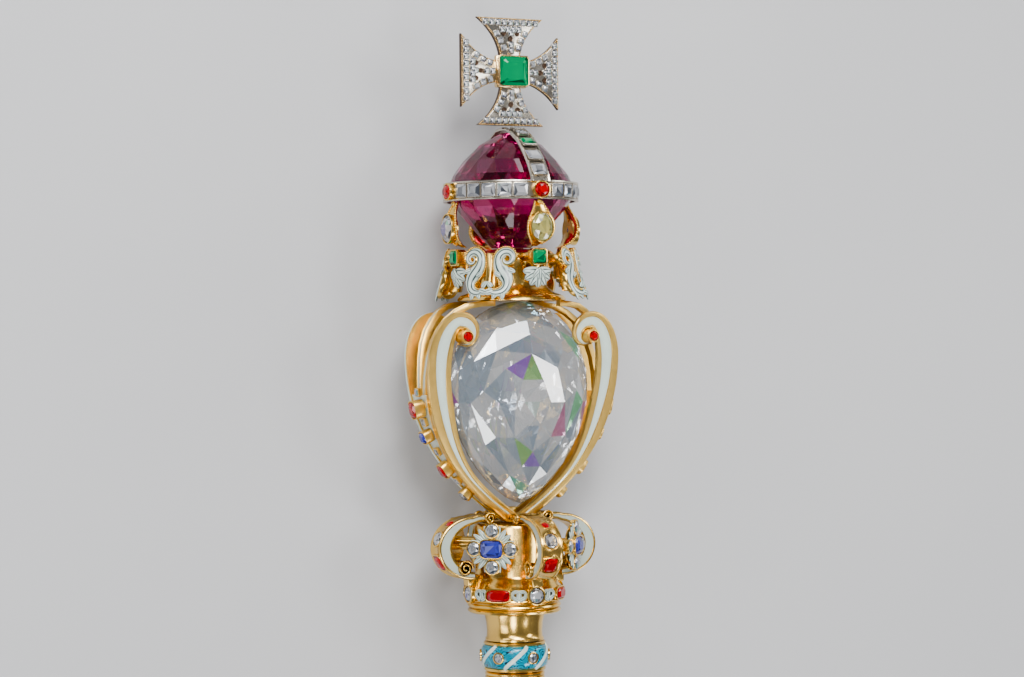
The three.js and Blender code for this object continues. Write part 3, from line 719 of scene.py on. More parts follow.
def hull(points):
    part = fresh()
    verts = [part.verts.new(p) for p in points]
    made = bmesh.ops.convex_hull(part, input=verts)
    loose = [
        one for one in made["geom_interior"] + made["geom_unused"] if isinstance(one, bmesh.types.BMVert)
    ]
    bmesh.ops.delete(part, geom=list(set(loose)), context="VERTS")
    bmesh.ops.dissolve_limit(part, angle_limit=math.radians(1.2), verts=part.verts, edges=part.edges)
    return kept(part, 0)


@functools.lru_cache(None)
def brilliant(rim, rise, depth, table=0.55):
    """A stone with kite and star facets round a table, from its rim's points."""
    count = len(rim)
    levels = [
        (table, rise, range(0, count, 2)), (0.5 * (1 + table) + 0.05, 0.58 * rise, range(1, count, 2)),
        (1.0, 0.06 * rise, range(count)), (1.0, -0.04 * depth, range(count)),
        (0.56, -0.58 * depth, range(1, count, 2)), (0.06, -depth, range(0, count, 2)),
    ]
    return hull(
        [(rim[i][0] * share, rim[i][1] * share, level) for share, level, picked in levels for i in picked]
    )


@functools.lru_cache(None)
def step_cut(rim, rise, depth, table=0.62):
    """A stone with long steps, parallel to its rim."""
    levels = [
        (table, rise), (0.5 * (1 + table), 0.66 * rise), (1.0, 0.08 * rise), (1.0, -0.05 * depth),
        (0.66, -0.6 * depth), (0.2, -depth),
    ]
    return hull([(x * share, y * share, level) for share, level in levels for x, y in rim])


@functools.lru_cache(None)
def collet(rim, low, high, wall=0.4, lip=0.35, flare=0.92):
    """A metal box that holds a stone of that rim by a thin lip. The stone's girdle is at 0."""
    grown = [Vector(p) * (1 + wall / max(Vector(p).length, 0.1)) for p in rim]
    part = fresh()
    face = part.faces.new([part.verts.new((p.x * flare, p.y * flare, low)) for p in grown])
    made = bmesh.ops.extrude_face_region(part, geom=[face])["geom"]
    top = [one for one in made if isinstance(one, bmesh.types.BMVert)]
    roof = [one for one in made if isinstance(one, bmesh.types.BMFace)]
    for vert in top:
        vert.co = Vector((vert.co.x / flare, vert.co.y / flare, high))
    bmesh.ops.recalc_face_normals(part, faces=part.faces)
    rim_edges = [edge for edge in roof[0].edges]
    bmesh.ops.bevel(
        part, geom=rim_edges, offset=0.3 * wall, offset_type="OFFSET", segments=2, profile=0.5,
        affect="EDGES", material=-1, clamp_overlap=True,
    )
    roof = [max(part.faces, key=lambda f: (f.calc_center_median().z, f.calc_area()))]
    bmesh.ops.inset_region(part, faces=roof, thickness=lip * wall + 0.08, use_even_offset=True)
    made = bmesh.ops.extrude_face_region(part, geom=roof)["geom"]
    bmesh.ops.delete(part, geom=roof, context="FACES_ONLY")
    sunk = [one for one in made if isinstance(one, bmesh.types.BMVert)]
    bmesh.ops.translate(part, verts=sunk, vec=(0, 0, -0.7 * (high - low)))
    return kept(part, 30)


def set_stone(piece, place, stone, rim, low, high, metal_index, stone_index, wall=0.4):
    """A stone in its collet. The stone's girdle is where place puts it."""
    put(piece, collet(rim, low, high, wall), place, metal_index)
    put(piece, stone, place, stone_index)


# ---- Rod ------------------------------------------------------------------------------------------
def rod_profile(node):
    low, high = span(node)
    bottom, top = low.y, high.y
    ring, plain = size("ring_radius"), size("rod_radius")
    half = [
        (0, 0), (ring - 0.4, 0), (ring, 0.35), (ring, 0.9), (ring - 0.35, 1.2), (ring, 1.5), (ring, 2.1),
        (ring - 0.3, 2.45), (plain + 0.25, 3.0), (plain, 3.8),
    ]
    return [(r, bottom + h) for r, h in half] + [(r, top - h) for r, h in reversed(half)]


def collar(node, stones):
    """An enamelled collar with gold lips, white bands that slant round it and stones between them."""
    low, high = span(node)
    bottom, top = low.y, high.y
    middle, half = (bottom + top) / 2, (top - bottom) / 2
    lip, bulge = size("ring_radius") + 0.3, size("collar_radius") - 0.45

    def radius(h):
        share = min(1.0, abs(h - middle) / (half - 0.9))
        return lip - 0.5 + (bulge - lip + 0.5) * math.sqrt(max(0.0, 1 - share * share)) ** 0.75

    piece = fresh()
    rise = [(radius(h), h) for h in (bottom + 0.9 + (top - bottom - 1.8) * t for t in steps(14))]
    body = turned([(0, bottom + 0.2), *rise, (0, top - 0.2)])
    put(piece, kept(body), None, 0)
    for edge, way in ((bottom, 1), (top, -1)):
        rim = turned(
            [
                (lip - 2, edge), (lip - 0.25, edge), (lip, edge + 0.25 * way), (lip, edge + 0.8 * way),
                (lip - 0.3, edge + 1.1 * way), (lip - 2, edge + 1.1 * way),
            ],
            64, True,
        )
        put(piece, kept(rim), None, 1)
    for k in range(6):
        sections = []
        for t in steps(14):
            h = bottom + 1.0 + (top - bottom - 2.0) * t
            a = math.radians(60 * k + 14 + 44 * t)
            out, along = Vector((math.sin(a), 0, math.cos(a))), Vector((math.cos(a), 0, -math.sin(a)))
            base = Vector((0, h, 0)) + out * radius(h)
            slant = (along * 0.72 - Vector((0, 0.69, 0))).normalized()
            sections.append(
                [
                    base + slant * u + out * v
                    for u, v in (
                        (-0.62, -0.4), (0.62, -0.4), (0.56, 0.12), (0.2, 0.24), (-0.2, 0.24), (-0.56, 0.12),
                    )
                ]
            )
        put(piece, kept(carried(sections)), None, 2)
        if stones:
            rim = round_rim(2.7)
            put_at = at_side(60 * k + 66, bulge + 0.1, middle)
            set_stone(piece, put_at, brilliant(rim, 0.42, 0.8), rim, -0.8, 0.2, 1, 3, 0.45)
    hand_over(
        piece, node + "_dressed", ["turquoise_enamel", "gold", "white_enamel", "diamond"],
        [node],
    )


class SCEPTRE_OT_rod(bpy.types.Operator):
    """Turns the rod's three sections, its neck and the pommel, and dresses the collars"""

    bl_idname = "sceptre.rod"
    bl_label = "Rod, collars and pommel"

    def execute(self, context):
        for node in ("rod_lower", "rod_middle", "rod_upper"):
            piece = fresh()
            put(piece, kept(turned(rod_profile(node), 72)))
            hand_over(piece, node + "_turned", ["gold"], [node])
        collar("collar_lower", False)
        collar("collar_middle", False)
        collar("collar_upper", True)
        low, high = span("neck")
        piece = fresh()
        flare = [
            (0, low.y), (8.55, low.y), (8.6, low.y + 0.5), (8.15, low.y + 1.1), (8.1, low.y + 2.6),
            (8.3, low.y + 5.2), (8.75, high.y - 0.4), (8.75, high.y), (0, high.y),
        ]
        put(piece, kept(turned(flare, 72)))
        hand_over(piece, "neck_turned", ["gold"], ["neck"])
        self.pommel()
        return {"FINISHED"}

    def pommel(self):
        low, high = span("pommel")
        girdle, middle = size("pommel_radius"), 25.0
        ball = [
            (24.3 * math.cos(math.radians(a)), 22.1 * math.sin(math.radians(a))) for a in range(-78, -8, 6)
        ]
        lower = [(0, 0.0), (4.8, 0.0), (5.2, 0.4), (5.3, 1.4)] + [
            (r, middle + h) for r, h in ball if h > -22 and middle + h > 1.6
        ]
        ring = [
            (girdle - 0.4, 20.5), (girdle, 20.9), (girdle, 21.9), (girdle - 0.3, 22.3), (25.1, 22.8),
            (25.1, middle),
        ]
        half = lower + ring
        upper = [(r, 2 * middle - h) for r, h in reversed(half[4:-1])]
        top = [(9.6, 45.9), (9.8, 46.6), (9.3, high.y), (0, high.y)]
        part = turned(half + upper + top, 96)
        bmesh.ops.remove_doubles(part, verts=part.verts, dist=0.002)
        flat = low.z
        cut = bmesh.ops.bisect_plane(
            part, geom=part.verts[:] + part.edges[:] + part.faces[:], plane_co=(0, 0, flat),
            plane_no=(0, 0, -1), clear_outer=True,
        )
        open_edges = [one for one in cut["geom_cut"] if isinstance(one, bmesh.types.BMEdge)]
        bmesh.ops.holes_fill(part, edges=open_edges, sides=0)
        piece = fresh()
        put(piece, kept(part))
        for face in piece.faces:
            middle_of = face.calc_center_median()
            if 22.7 < middle_of.y < 27.3 and math.hypot(
                middle_of.x, middle_of.z,
            ) > 24.9 and middle_of.z > flat + 0.1:
                face.material_index = 1
        hand_over(piece, "pommel_turned", ["gold", "turquoise_enamel"], ["pommel"])


# ---- Crown ----------------------------------------------------------------------------------------
BRACKET_CENTRE, BRACKET_REACH, BRACKET_RISE = (14.5, 768.3), 11.07, 9.2
HINGE_HEIGHT, HINGE_FORWARD = 777.0, 4.4
KNUCKLE_HALF = 0.7
TOP_VOLUTE, FOOT_VOLUTE = (9.4, 776.7, 1.5), (17.3, 762.6, 2.1)


def bracket_line():
    """A bracket's outer edge from its foot as (distance from the axis, height), with the wall there."""
    line = []
    for t in steps(30):
        a = math.radians(-92 + 182 * t)
        edge = (
            BRACKET_CENTRE[0] + (BRACKET_REACH - 0.24) * math.cos(a),
            BRACKET_CENTRE[1] + (BRACKET_RISE - 0.1) * math.sin(a),
        )
        line.append((edge, 2.2 + 1.9 * max(0.0, math.cos(a))))
    for t in steps(5, 1):
        line.append(((14.5 - 5.1 * t, 777.45 + 0.5 * math.sin(math.pi * t) - 0.1 * t), 2.2 - 0.3 * t))
    return line


def volute(piece, radius, height, size_, width, material):
    """A rolled end: a drum with a spiral rib on each side."""
    drum = kept(
        button(
            [
                (0, -width / 2), (size_ - 0.15, -width / 2), (size_, -width / 2 + 0.15),
                (size_, width / 2 - 0.15), (size_ - 0.15, width / 2), (0, width / 2),
            ],
            28,
        )
    )
    spiral = []
    for t in steps(30):
        a, r = 2 * math.pi * 1.8 * t, (size_ + 0.25) * (1 - 0.82 * t)
        spiral.append((r * math.cos(a), r * math.sin(a), width / 2 + 0.1 + 0.35 * t))
    rib = kept(tube(spiral, [0.36 - 0.08 * t for t in steps(30)]), 60)
    for way in (1, -1):
        turn = Matrix.Scale(way, 4, (1, 0, 0)) @ Matrix.Rotation(math.radians(90), 4, "Y")
        put(piece, drum, move(0, height, radius) @ turn, material)
        put(piece, rib, move(0, height, radius) @ turn, material)


def bracket(node, degrees):
    width = size("bracket_width") / 2
    line = bracket_line()
    edges = [edge for edge, _ in line]
    inward = normals(edges)
    piece = fresh()
    sections = []
    for (edge, wall), (nr, nh) in zip(line, inward):
        rim = 0.62
        shape = [
            (0.0, -width + 0.55), (0.12, -width + 0.15), (0.35, -width), (rim, -width),
            (rim + 0.12, -width + 0.22), (wall - rim - 0.12, -width + 0.22), (wall - rim, -width),
            (wall - 0.15, -width),
            (wall, -width + 0.2), (wall, width - 0.2), (wall - 0.15, width), (wall - rim, width),
            (wall - rim - 0.12, width - 0.22), (rim + 0.12, width - 0.22), (rim, width), (0.35, width),
            (0.12, width - 0.15), (0.0, width - 0.55), (0.3, width - 1.0), (0.3, -width + 1.0),
        ]
        sections.append([(x, edge[1] + nh * u, edge[0] + nr * u) for u, x in shape])
    enamelled = [0, 0, 0, 0, 1, 0, 0, 0, 0, 0, 0, 0, 1, 0, 0, 0, 0, 0, 0, 0]
    put(piece, kept(carried(sections, enamelled), 34))
    volute(piece, *TOP_VOLUTE, 2 * width + 0.7, 0)
    volute(piece, *FOOT_VOLUTE, 2 * width + 0.7, 0)
    for angle, rim, stone, index, grow in (
        (-28, cushion_rim(4.3, 4.9), brilliant(cushion_rim(4.3, 4.9), 0.9, 1.1), 2, 0.5),
        (20, round_rim(4.3), brilliant(round_rim(4.3), 0.8, 1.2), 3, 0.5),
        (55, round_rim(2.8), brilliant(round_rim(2.8), 0.6, 0.8), 2, 0.4),
    ):
        a = math.radians(angle)
        n = BRACKET_CENTRE[0] + (BRACKET_REACH - 0.75) * math.cos(a)
        h = BRACKET_CENTRE[1] + (BRACKET_RISE - 0.75) * math.sin(a)
        tilt = math.atan2(math.sin(a) / BRACKET_RISE, math.cos(a) / BRACKET_REACH)
        place = move(0, h, n) @ Matrix.Rotation(-tilt, 4, "X")
        set_stone(piece, place, stone, rim, -0.9, 0.25, 0, index, grow)
    if node == "bracket_front":
        hinge_ears(piece)
    piece.transform(round_rod(degrees))
    hand_over(piece, node + "_dressed", ["gold", "white_enamel", "ruby", "diamond"], [node])


def hinge_ears(piece):
    for right in (1, -1):
        ear = slab(
            rectangle(2.3, HINGE_HEIGHT - KNUCKLE_HALF, 3.6, HINGE_HEIGHT + KNUCKLE_HALF), HINGE_FORWARD,
            9.0, 0.1,
        )
        put(piece, kept(ear), Matrix.Scale(right, 4, (1, 0, 0)), 0)
        knob = kept(button([(0, -0.65), (0.9, -0.65), (1.0, -0.55), (1.0, 0.55), (0.9, 0.65), (0, 0.65)], 20))
        put(
            piece, knob,
            move(right * 2.95, HINGE_HEIGHT, HINGE_FORWARD) @ Matrix.Rotation(math.radians(90), 4, "Y"), 0,
        )


def base_profile():
    low, high = span("crown_base")
    return [
        (0, low.y), (8.9, low.y), (9.2, low.y + 0.1), (13.0, low.y + 0.15), (13.55, low.y + 0.5),
        (13.65, low.y + 0.9), (13.3, low.y + 1.3), (12.95, low.y + 1.55), (13.4, low.y + 1.8),
        (13.65, low.y + 2.2), (13.5, low.y + 2.6), (13.05, low.y + 2.95), (13.0, low.y + 3.3),
        (13.5, 752.7), (13.75, 753.0), (13.6, 753.4), (13.1, 753.5), (13.1, 756.2), (13.6, 756.3),
        (13.75, 756.6),
        (13.4, 757.0), (12.9, 757.7), (12.5, 758.6), (11.8, 759.3), (11.45, 760.2), (11.45, high.y - 0.9),
        (11.2, high.y - 0.3), (10.7, high.y), (0, high.y),
    ]


def leaf_outline(length_, width, lobes=3):
    """Half of a lobed leaf that grows along +x, both sides."""
    side = []
    for t in steps(8 * lobes):
        swell = math.sin(math.pi * min(1.0, t * 0.94 + 0.06)) ** 0.7
        side.append((length_ * t, width / 2 * swell * (0.74 + 0.26 * abs(math.sin(lobes * math.pi * t)))))
    return side + [(x, -y) for x, y in reversed(side[1:-1])]


class SCEPTRE_OT_crown(bpy.types.Operator):
    """Makes the crown: its moulded base with eight stones, four scrolled brackets and four rosettes"""

    bl_idname = "sceptre.crown"
    bl_label = "Crown of brackets"

    def execute(self, context):
        self.base()
        for name, degrees in SIDES.items():
            bracket("bracket_" + name, degrees)
        for name, degrees in CORNERS.items():
            self.rosette("cluster_" + name, "sapphire_" + name, degrees)
        return {"FINISHED"}

    def base(self):
        piece = fresh()
        put(piece, kept(turned(base_profile(), 96), 30), None, 0)
        oblong = cushion_rim(7.0, 3.5)
        small = round_rim(4.3)
        sections = []
        for t in steps(18):
            a = math.radians(250 - 300 * t)
            r, half = 1.45 - 0.75 * t, 0.62 - 0.2 * t
            out = Vector((math.cos(a), math.sin(a), 0))
            shape = [(-half, -0.3), (-0.9 * half, 0.2), (0, 0.5), (0.9 * half, 0.2), (half, -0.3)]
            sections.append(
                [Vector((1.0, -0.2, 0.35 * t)) + out * (r + u) + Vector((0, 0, v)) for u, v in shape]
            )
        scroll = kept(carried(sections, across=[0, 0.1, 0.5, 0.9, 1, 1]), 50)
        leaf = frond(2.6, 1.3, 0.7, 0.2, 0.5)
        for k in range(4):
            ruby_place = at_side(90 * k + 45, 14.1, 754.85)
            set_stone(piece, ruby_place, brilliant(oblong, 0.95, 1.1, 0.6), oblong, -1.1, 0.3, 0, 1, 0.5)
            round_place = at_side(90 * k, 14.7, 754.85)
            set_stone(piece, round_place, brilliant(small, 0.75, 1.3), small, -1.9, 0.25, 0, 2, 0.7)
            for way in (1, -1):
                flip = Matrix.Scale(way, 4, (1, 0, 0))
                middle = at_side(90 * k + 45 + way * 24.8, 13.5, 754.9)
                for side in (1, -1):
                    turned_leaf = Matrix.Scale(side, 4, (1, 0, 0))
                    put(piece, scroll, middle @ flip @ turned_leaf @ move(0.1, 0.3, 0), 3)
                    put(
                        piece, leaf,
                        middle @ flip @ turned_leaf @ move(0.1, -1.4, 0) @ Matrix.Rotation(
                            math.radians(20), 4, "Z",
                        ),
                        3,
                    )
        tab = kept(slab([(-1.6, 757.2), (1.6, 757.2), (1.9, 760.4), (-1.9, 760.4)], 11.3, 15.6, 0.4, 3))
        for k in range(4):
            put(piece, tab, round_rod(90 * k), 0)
        hand_over(
            piece, "crown_base_turned", ["gold", "ruby", "diamond", "lined_enamel"], ["crown_base"],
        )

    def rosette(self, node, stone_node, degrees):
        piece = fresh()
        place = at_side(degrees, 18.4, 768.7)
        plate = kept(button([(0, -1.1), (5.6, -1.1), (5.9, -0.8), (5.9, -0.5), (0, -0.5)], 40))
        put(piece, plate, place, 0)
        stem = kept(button([(0, -6.6), (2, -6.6), (2, -1), (0, -1)], 20))
        put(piece, stem, place, 0)
        finger = frond(3.9, 1.6, 0.8, 0.5)
        for k in range(4):
            for step in (-1.5, -0.5, 0.5, 1.5):
                a = math.radians(90 * k + 45 + 17 * step)
                put(piece, finger, place @ Matrix.Rotation(a, 4, "Z") @ move(3.1, 0, -0.2), 1)
        round_ = round_rim(3.7)
        for x, y in ((0, 5.2), (0, -5.2), (5.5, 0), (-5.5, 0)):
            set_stone(
                piece, place @ move(x, y, 0.75), brilliant(round_, 0.55, 1.0), round_, -1.4, 0.15, 0, 2, 0.5,
            )
        oblong = cushion_rim(6.6, 5.1, 16, 0.5)
        set_stone(
            piece, place @ move(0, 0, 1.25), brilliant(oblong, 1.1, 1.2, 0.5), oblong, -1.6, 0.35, 0, 3,
            0.42,
        )
        hand_over(
            piece, node + "_dressed", ["gold", "lined_enamel", "diamond", "sapphire"],
            [node, stone_node],
        )


# ---- Heart ----------------------------------------------------------------------------------------
HEART_SIDE = (0, 773.4, 15, 783, 31, 797, 30.5, 822)
SHOULDER = (21.0, 822.0, 9.5, 14.4)
EYE = (20.15, 829.2, 2.1)
TIP_HEIGHT = 775.4


def face_at(h):
    """How far the heart's front face stands before the mid-plane at a height."""
    return 2.6 + 0.137 * (h - TIP_HEIGHT)


def arm_line():
    """The right arm's outer edge from the tip up, over the shoulder and into the scroll, with its width."""
    line = []
    for t in steps(28):
        line.append((bezier(HEART_SIDE, t), 3.6 + 3.5 * smooth(0.35, 0.85, t)))
    for t in steps(14, 1):
        a = t * math.pi / 2
        line.append(
            (
                (SHOULDER[0] + SHOULDER[2] * math.cos(a), SHOULDER[1] + SHOULDER[3] * math.sin(a)),
                7.1 - 2.0 * smooth(0.1, 1, t),
            )
        )
    for t in steps(26, 1):
        a = math.pi * (0.5 + 1.15 * t)
        r = 7.2 - 4.7 * min(1.0, 1.15 * t)
        line.append(((EYE[0] + r * math.cos(a), EYE[1] + r * math.sin(a)), max(0.4, r - EYE[2] + 0.3)))
    return line


def arm(front, right):
    """One arm of a frame, with an enamel stripe between two gold borders."""
    line = arm_line()
    edge = [point for point, _ in line]
    inward = normals(edge)
    sections = []
    for i, (((x, h), width), (nx, nh)) in enumerate(zip(line, inward)):
        stripe = min(0.6 + (size("stripe") - 0.6) * smooth(7, 33, i), 0.50 * width)
        b, c = 0.6 * (width - stripe), 0.4 * (width - stripe)
        shape = [
            (0.1, -1.7), (0.0, -1.4), (0.0, -0.35), (0.22, -0.1), (0.5 * b, 0.0), (b - 0.2, -0.06),
            (b - 0.04, -0.32), (b + 0.06, -0.36),
            (b + stripe / 2, -0.16), (width - c - 0.06, -0.36), (width - c + 0.04, -0.32),
            (width - c + 0.2, -0.06), (width - 0.5 * c, 0.0), (width - 0.15, -0.1), (width, -0.35),
            (width, -1.4), (width - 0.1, -1.7),
        ]
        points = []
        for u, v in shape:
            px, ph = x + nx * u, h + nh * u
            points.append((right * px, ph, front * (face_at(ph) + v)))
        sections.append(points)
    finishes = [0, 0 if front > 0 else 1, 0, 0, 0, 0, 0, 1, 1, 0, 0, 0, 0, 0, 0, 0, 0]
    return carried(sections, finishes)


def trimmed(part, height):
    """Cuts a piece flat below a height and closes it."""
    cut = bmesh.ops.bisect_plane(
        part, geom=part.verts[:] + part.edges[:] + part.faces[:], plane_co=(0, height, 0),
        plane_no=(0, -1, 0), clear_outer=True,
    )
    bmesh.ops.holes_fill(
        part, edges=[one for one in cut["geom_cut"] if isinstance(one, bmesh.types.BMEdge)], sides=0,
    )
    return part


def eye(piece, front, right):
    """A boss in a scroll's eye with a round red stone."""
    base = face_at(EYE[1])
    rim = round_rim(2.9)
    turn = Matrix.Rotation(0 if front > 0 else math.pi, 4, "Y")
    place = move(right * EYE[0], EYE[1], front * (base + 2.9)) @ turn
    boss = button([(0, -4.4), (2.1, -4.4), (2.1, -2.2), (1.9, -1.4), (2.0, -0.6), (2.0, -0.2), (0, -0.2)], 28)
    put(piece, kept(boss), place, 0)
    set_stone(piece, place, brilliant(rim, 1.1, 0.9, 0.5), rim, -0.8, 0.3, 0, 2, 0.42)


def side_place(t, right, out):
    """The place on the heart's outer edge at a share of its lower side, facing outwards."""
    x, h = bezier(HEART_SIDE, t)
    (ax, ah), (bx, bh) = bezier(HEART_SIDE, t - 0.01), bezier(HEART_SIDE, t + 0.01)
    along = Vector((bx - ax, bh - ah, 0)).normalized()
    outward = Vector((along.y, -along.x, 0))
    along.x *= right
    outward.x *= right
    across = along.cross(outward)
    basis = Matrix((across, along, outward)).transposed().to_4x4()
    return Matrix.Translation(Vector((right * x, h, 0)) + outward * out) @ basis


class SCEPTRE_OT_heart(bpy.types.Operator):
    """Makes the heart: the rear frame with its bands and straps, and the front frame on a body of its own"""

    bl_idname = "sceptre.heart"
    bl_label = "Heart"

    def execute(self, context):
        self.rear()
        self.front()
        self.stone()
        return {"FINISHED"}

    def front(self):
        piece = fresh()
        for right in (1, -1):
            put(piece, kept(trimmed(arm(1, right), TIP_HEIGHT)))
            eye(piece, 1, right)
        knuckle = kept(
            button([(0, -1.85), (0.9, -1.85), (1.0, -1.75), (1.0, 1.75), (0.9, 1.85), (0, 1.85)], 20)
        )
        put(piece, knuckle, move(0, HINGE_HEIGHT, HINGE_FORWARD) @ Matrix.Rotation(math.pi / 2, 4, "Y"), 0)
        put(
            piece,
            kept(
                slab(
                    rectangle(-1.9, HINGE_HEIGHT - KNUCKLE_HALF, 1.9, HINGE_HEIGHT + KNUCKLE_HALF), 1.7,
                    HINGE_FORWARD, 0.1,
                )
            ),
            None, 0,
        )
        hand_over(
            piece, "heart_clasp_dressed", ["satin_gold", "white_enamel", "ruby"],
            ["heart_clasp", "ruby_clasp_left", "ruby_clasp_right"], "front_clasp",
        )

    def rear(self):
        piece = fresh()
        for right in (1, -1):
            put(piece, kept(trimmed(arm(-1, right), TIP_HEIGHT)))
            eye(piece, -1, right)
            put(piece, kept(self.side_band(right)))
            for front in (1, -1):
                put(piece, kept(self.strap(right, front)))
            self.side_stones(piece, right)
        stem = slab([(-2.5, 775.4), (2.5, 775.4), (2.2, 779.5), (-2.2, 779.5)], -4.0, -0.45, 0.3)
        put(piece, kept(stem), None, 0)
        nodes = ["heart_frame", "ruby_rear_left", "ruby_rear_right"]
        nodes += [
            f"{stone}_{side}"
            for stone in ("ruby_side_upper", "sapphire_side", "ruby_side_lower", "diamond_side")
            for side in ("left", "right")
        ]
        hand_over(
            piece, "heart_frame_dressed", ["satin_gold", "white_enamel", "ruby", "sapphire", "diamond"],
            nodes,
        )

    def side_band(self, right):
        """The wall between the two frames: an enamel panel between gold edges."""
        points = [bezier(HEART_SIDE, t) for t in steps(30)]
        points = [p for p in points if TIP_HEIGHT + 0.2 < p[1] < 814]
        inward = normals(points)
        sections = []
        for (x, h), (nx, nh) in zip(points, inward):
            back, front = -(face_at(h) - 0.6), face_at(h) - 2.2
            rim = min(1.0, 0.22 * (front - back))
            shape = [
                (0.25, back), (0.25, back + rim), (0.55, back + rim + 0.1), (0.45, (back + front) / 2),
                (0.55, front - rim - 0.1), (0.25, front - rim), (0.25, front), (2.3, front), (2.3, back),
            ]
            sections.append([(right * (x + nx * u), h + nh * u, n) for u, n in shape])
        return carried(sections, [0, 0, 1, 1, 0, 0, 0, 0, 0])

    def strap(self, right, front):
        route = [
            (28.2, 809, 1.6), (28.4, 813, 1.7), (28.3, 818, 2.0), (27.8, 823, 2.7), (26.9, 827, 3.6),
            (25.3, 831, 4.4), (23.2, 834, 5.2), (20.6, 836.4, 6.3), (17.6, 838, 7.4), (14.0, 838.6, 8.5),
            (10.4, 838.7, 9.4),
        ]
        sections = []
        for i, (x, h, n) in enumerate(route):
            (ax, ah, _), (bx, bh, _) = route[max(0, i - 1)], route[min(len(route) - 1, i + 1)]
            along = Vector((bx - ax, bh - ah)).normalized()
            nx, nh = along.y, -along.x
            section = [
                (-0.8, -1.3), (0.5, -1.3), (0.8, -1.1), (0.8, -0.8), (0.62, -0.7), (0.7, 0.0), (0.62, 0.7),
                (0.8, 0.8), (0.8, 1.1), (0.5, 1.3), (-0.8, 1.3),
            ]
            sections.append([(right * (x + nx * u), h + nh * u, front * (n + v)) for u, v in section])
        return carried(sections, [0, 0, 0, 0, 1, 1, 0, 0, 0, 0, 0])

    def side_stones(self, piece, right):
        stones = (
            (0.81, 4.0, 4.8, 2.4, 2), (0.68, 3.4, 3.4, 2.0, 3), (0.495, 3.4, 4.3, 1.8, 2),
            (0.33, 2.5, 3.2, 1.7, 4),
        )
        for t, across, along, rise, index in stones:
            rim = cushion_rim(across, along)
            set_stone(
                piece, side_place(t, right, rise + 0.1), brilliant(rim, 0.9, 1.0, 0.58), rim, -rise - 0.4,
                0.35, 0, index, 0.4,
            )
        for t in (0.41, 0.59, 0.745, 0.88):
            rim = cushion_rim(2.2, 2.2, 8)
            set_stone(
                piece, side_place(t, right, 0.5), step_cut(square_rim(2.1, 2.1), 0.45, 0.6),
                square_rim(2.1, 2.1), -0.9, 0.1, 0, 4, 0.35,
            )

    def stone(self):
        low, high = span("great_diamond")
        half_width, middle, half = high.x - 0.05, (low.y + high.y) / 2, (high.y - low.y) / 2 - 0.02
        girdle, front, back = 4.0, 9.7, 18.0
        points = []

        def ring(share, forward, count, offset, squeeze=1.0):
            for k in range(count):
                a = 2 * math.pi * (k + offset) / count
                across = half_width * math.sin(a) * abs(math.sin(a / 2)) ** 0.4 / 0.886
                points.append(
                    (share * squeeze * across, middle - share * half * math.cos(a), girdle + forward)
                )

        ring(0.26, front, 6, 0.5)
        ring(0.48, 0.925 * front, 8, 0.0)
        ring(0.67, 0.80 * front, 9, 0.5)
        ring(0.82, 0.60 * front, 12, 0.0)
        ring(0.94, 0.32 * front, 18, 0.5)
        ring(1.0, 0.4, 36, 0.0)
        ring(1.0, -0.4, 36, 0.0)
        ring(0.90, -0.20 * back, 24, 0.5)
        ring(0.74, -0.43 * back, 20, 0.0)
        ring(0.54, -0.66 * back, 16, 0.5)
        ring(0.32, -0.85 * back, 12, 0.0)
        ring(0.10, -0.98 * back, 6, 0.5)
        ring(0.03, -back, 3, 0.0)
        piece = fresh()
        put(piece, hull(points))
        hand_over(piece, "great_diamond_cut", ["great_diamond"], ["great_diamond"])


# ---- Seat and consoles ----------------------------------------------------------------------------
EMERALD_HEIGHT = 852.0
CONSOLE_FOOT, CONSOLE_RADIUS = 840.2, 17.8


def scroll_line():
    """The middle of one S-scroll, from inside its curl down to its foot: x, height and half width."""
    line = []
    for t in steps(26):
        a = math.radians(-250 + 430 * t)
        r = 0.55 + 1.95 * t
        line.append((1.9 + r * math.cos(a), 11.1 + r * math.sin(a), 0.35 + 1.25 * smooth(0, 1, t)))
    for t in steps(14, 1):
        x, h = bezier((-0.6, 11.1, -0.6, 7.4, 3.0, 6.6, 2.2, 3.4), t)
        line.append((x, h, 1.6 + 0.75 * math.sin(math.pi * t)))
    for t in steps(10, 1):
        x, h = bezier((2.2, 3.4, 1.7, 1.3, -1.2, 0.9, -3.2, 2.2), t)
        line.append((x, h, 1.6 - 1.0 * t * t))
    return line


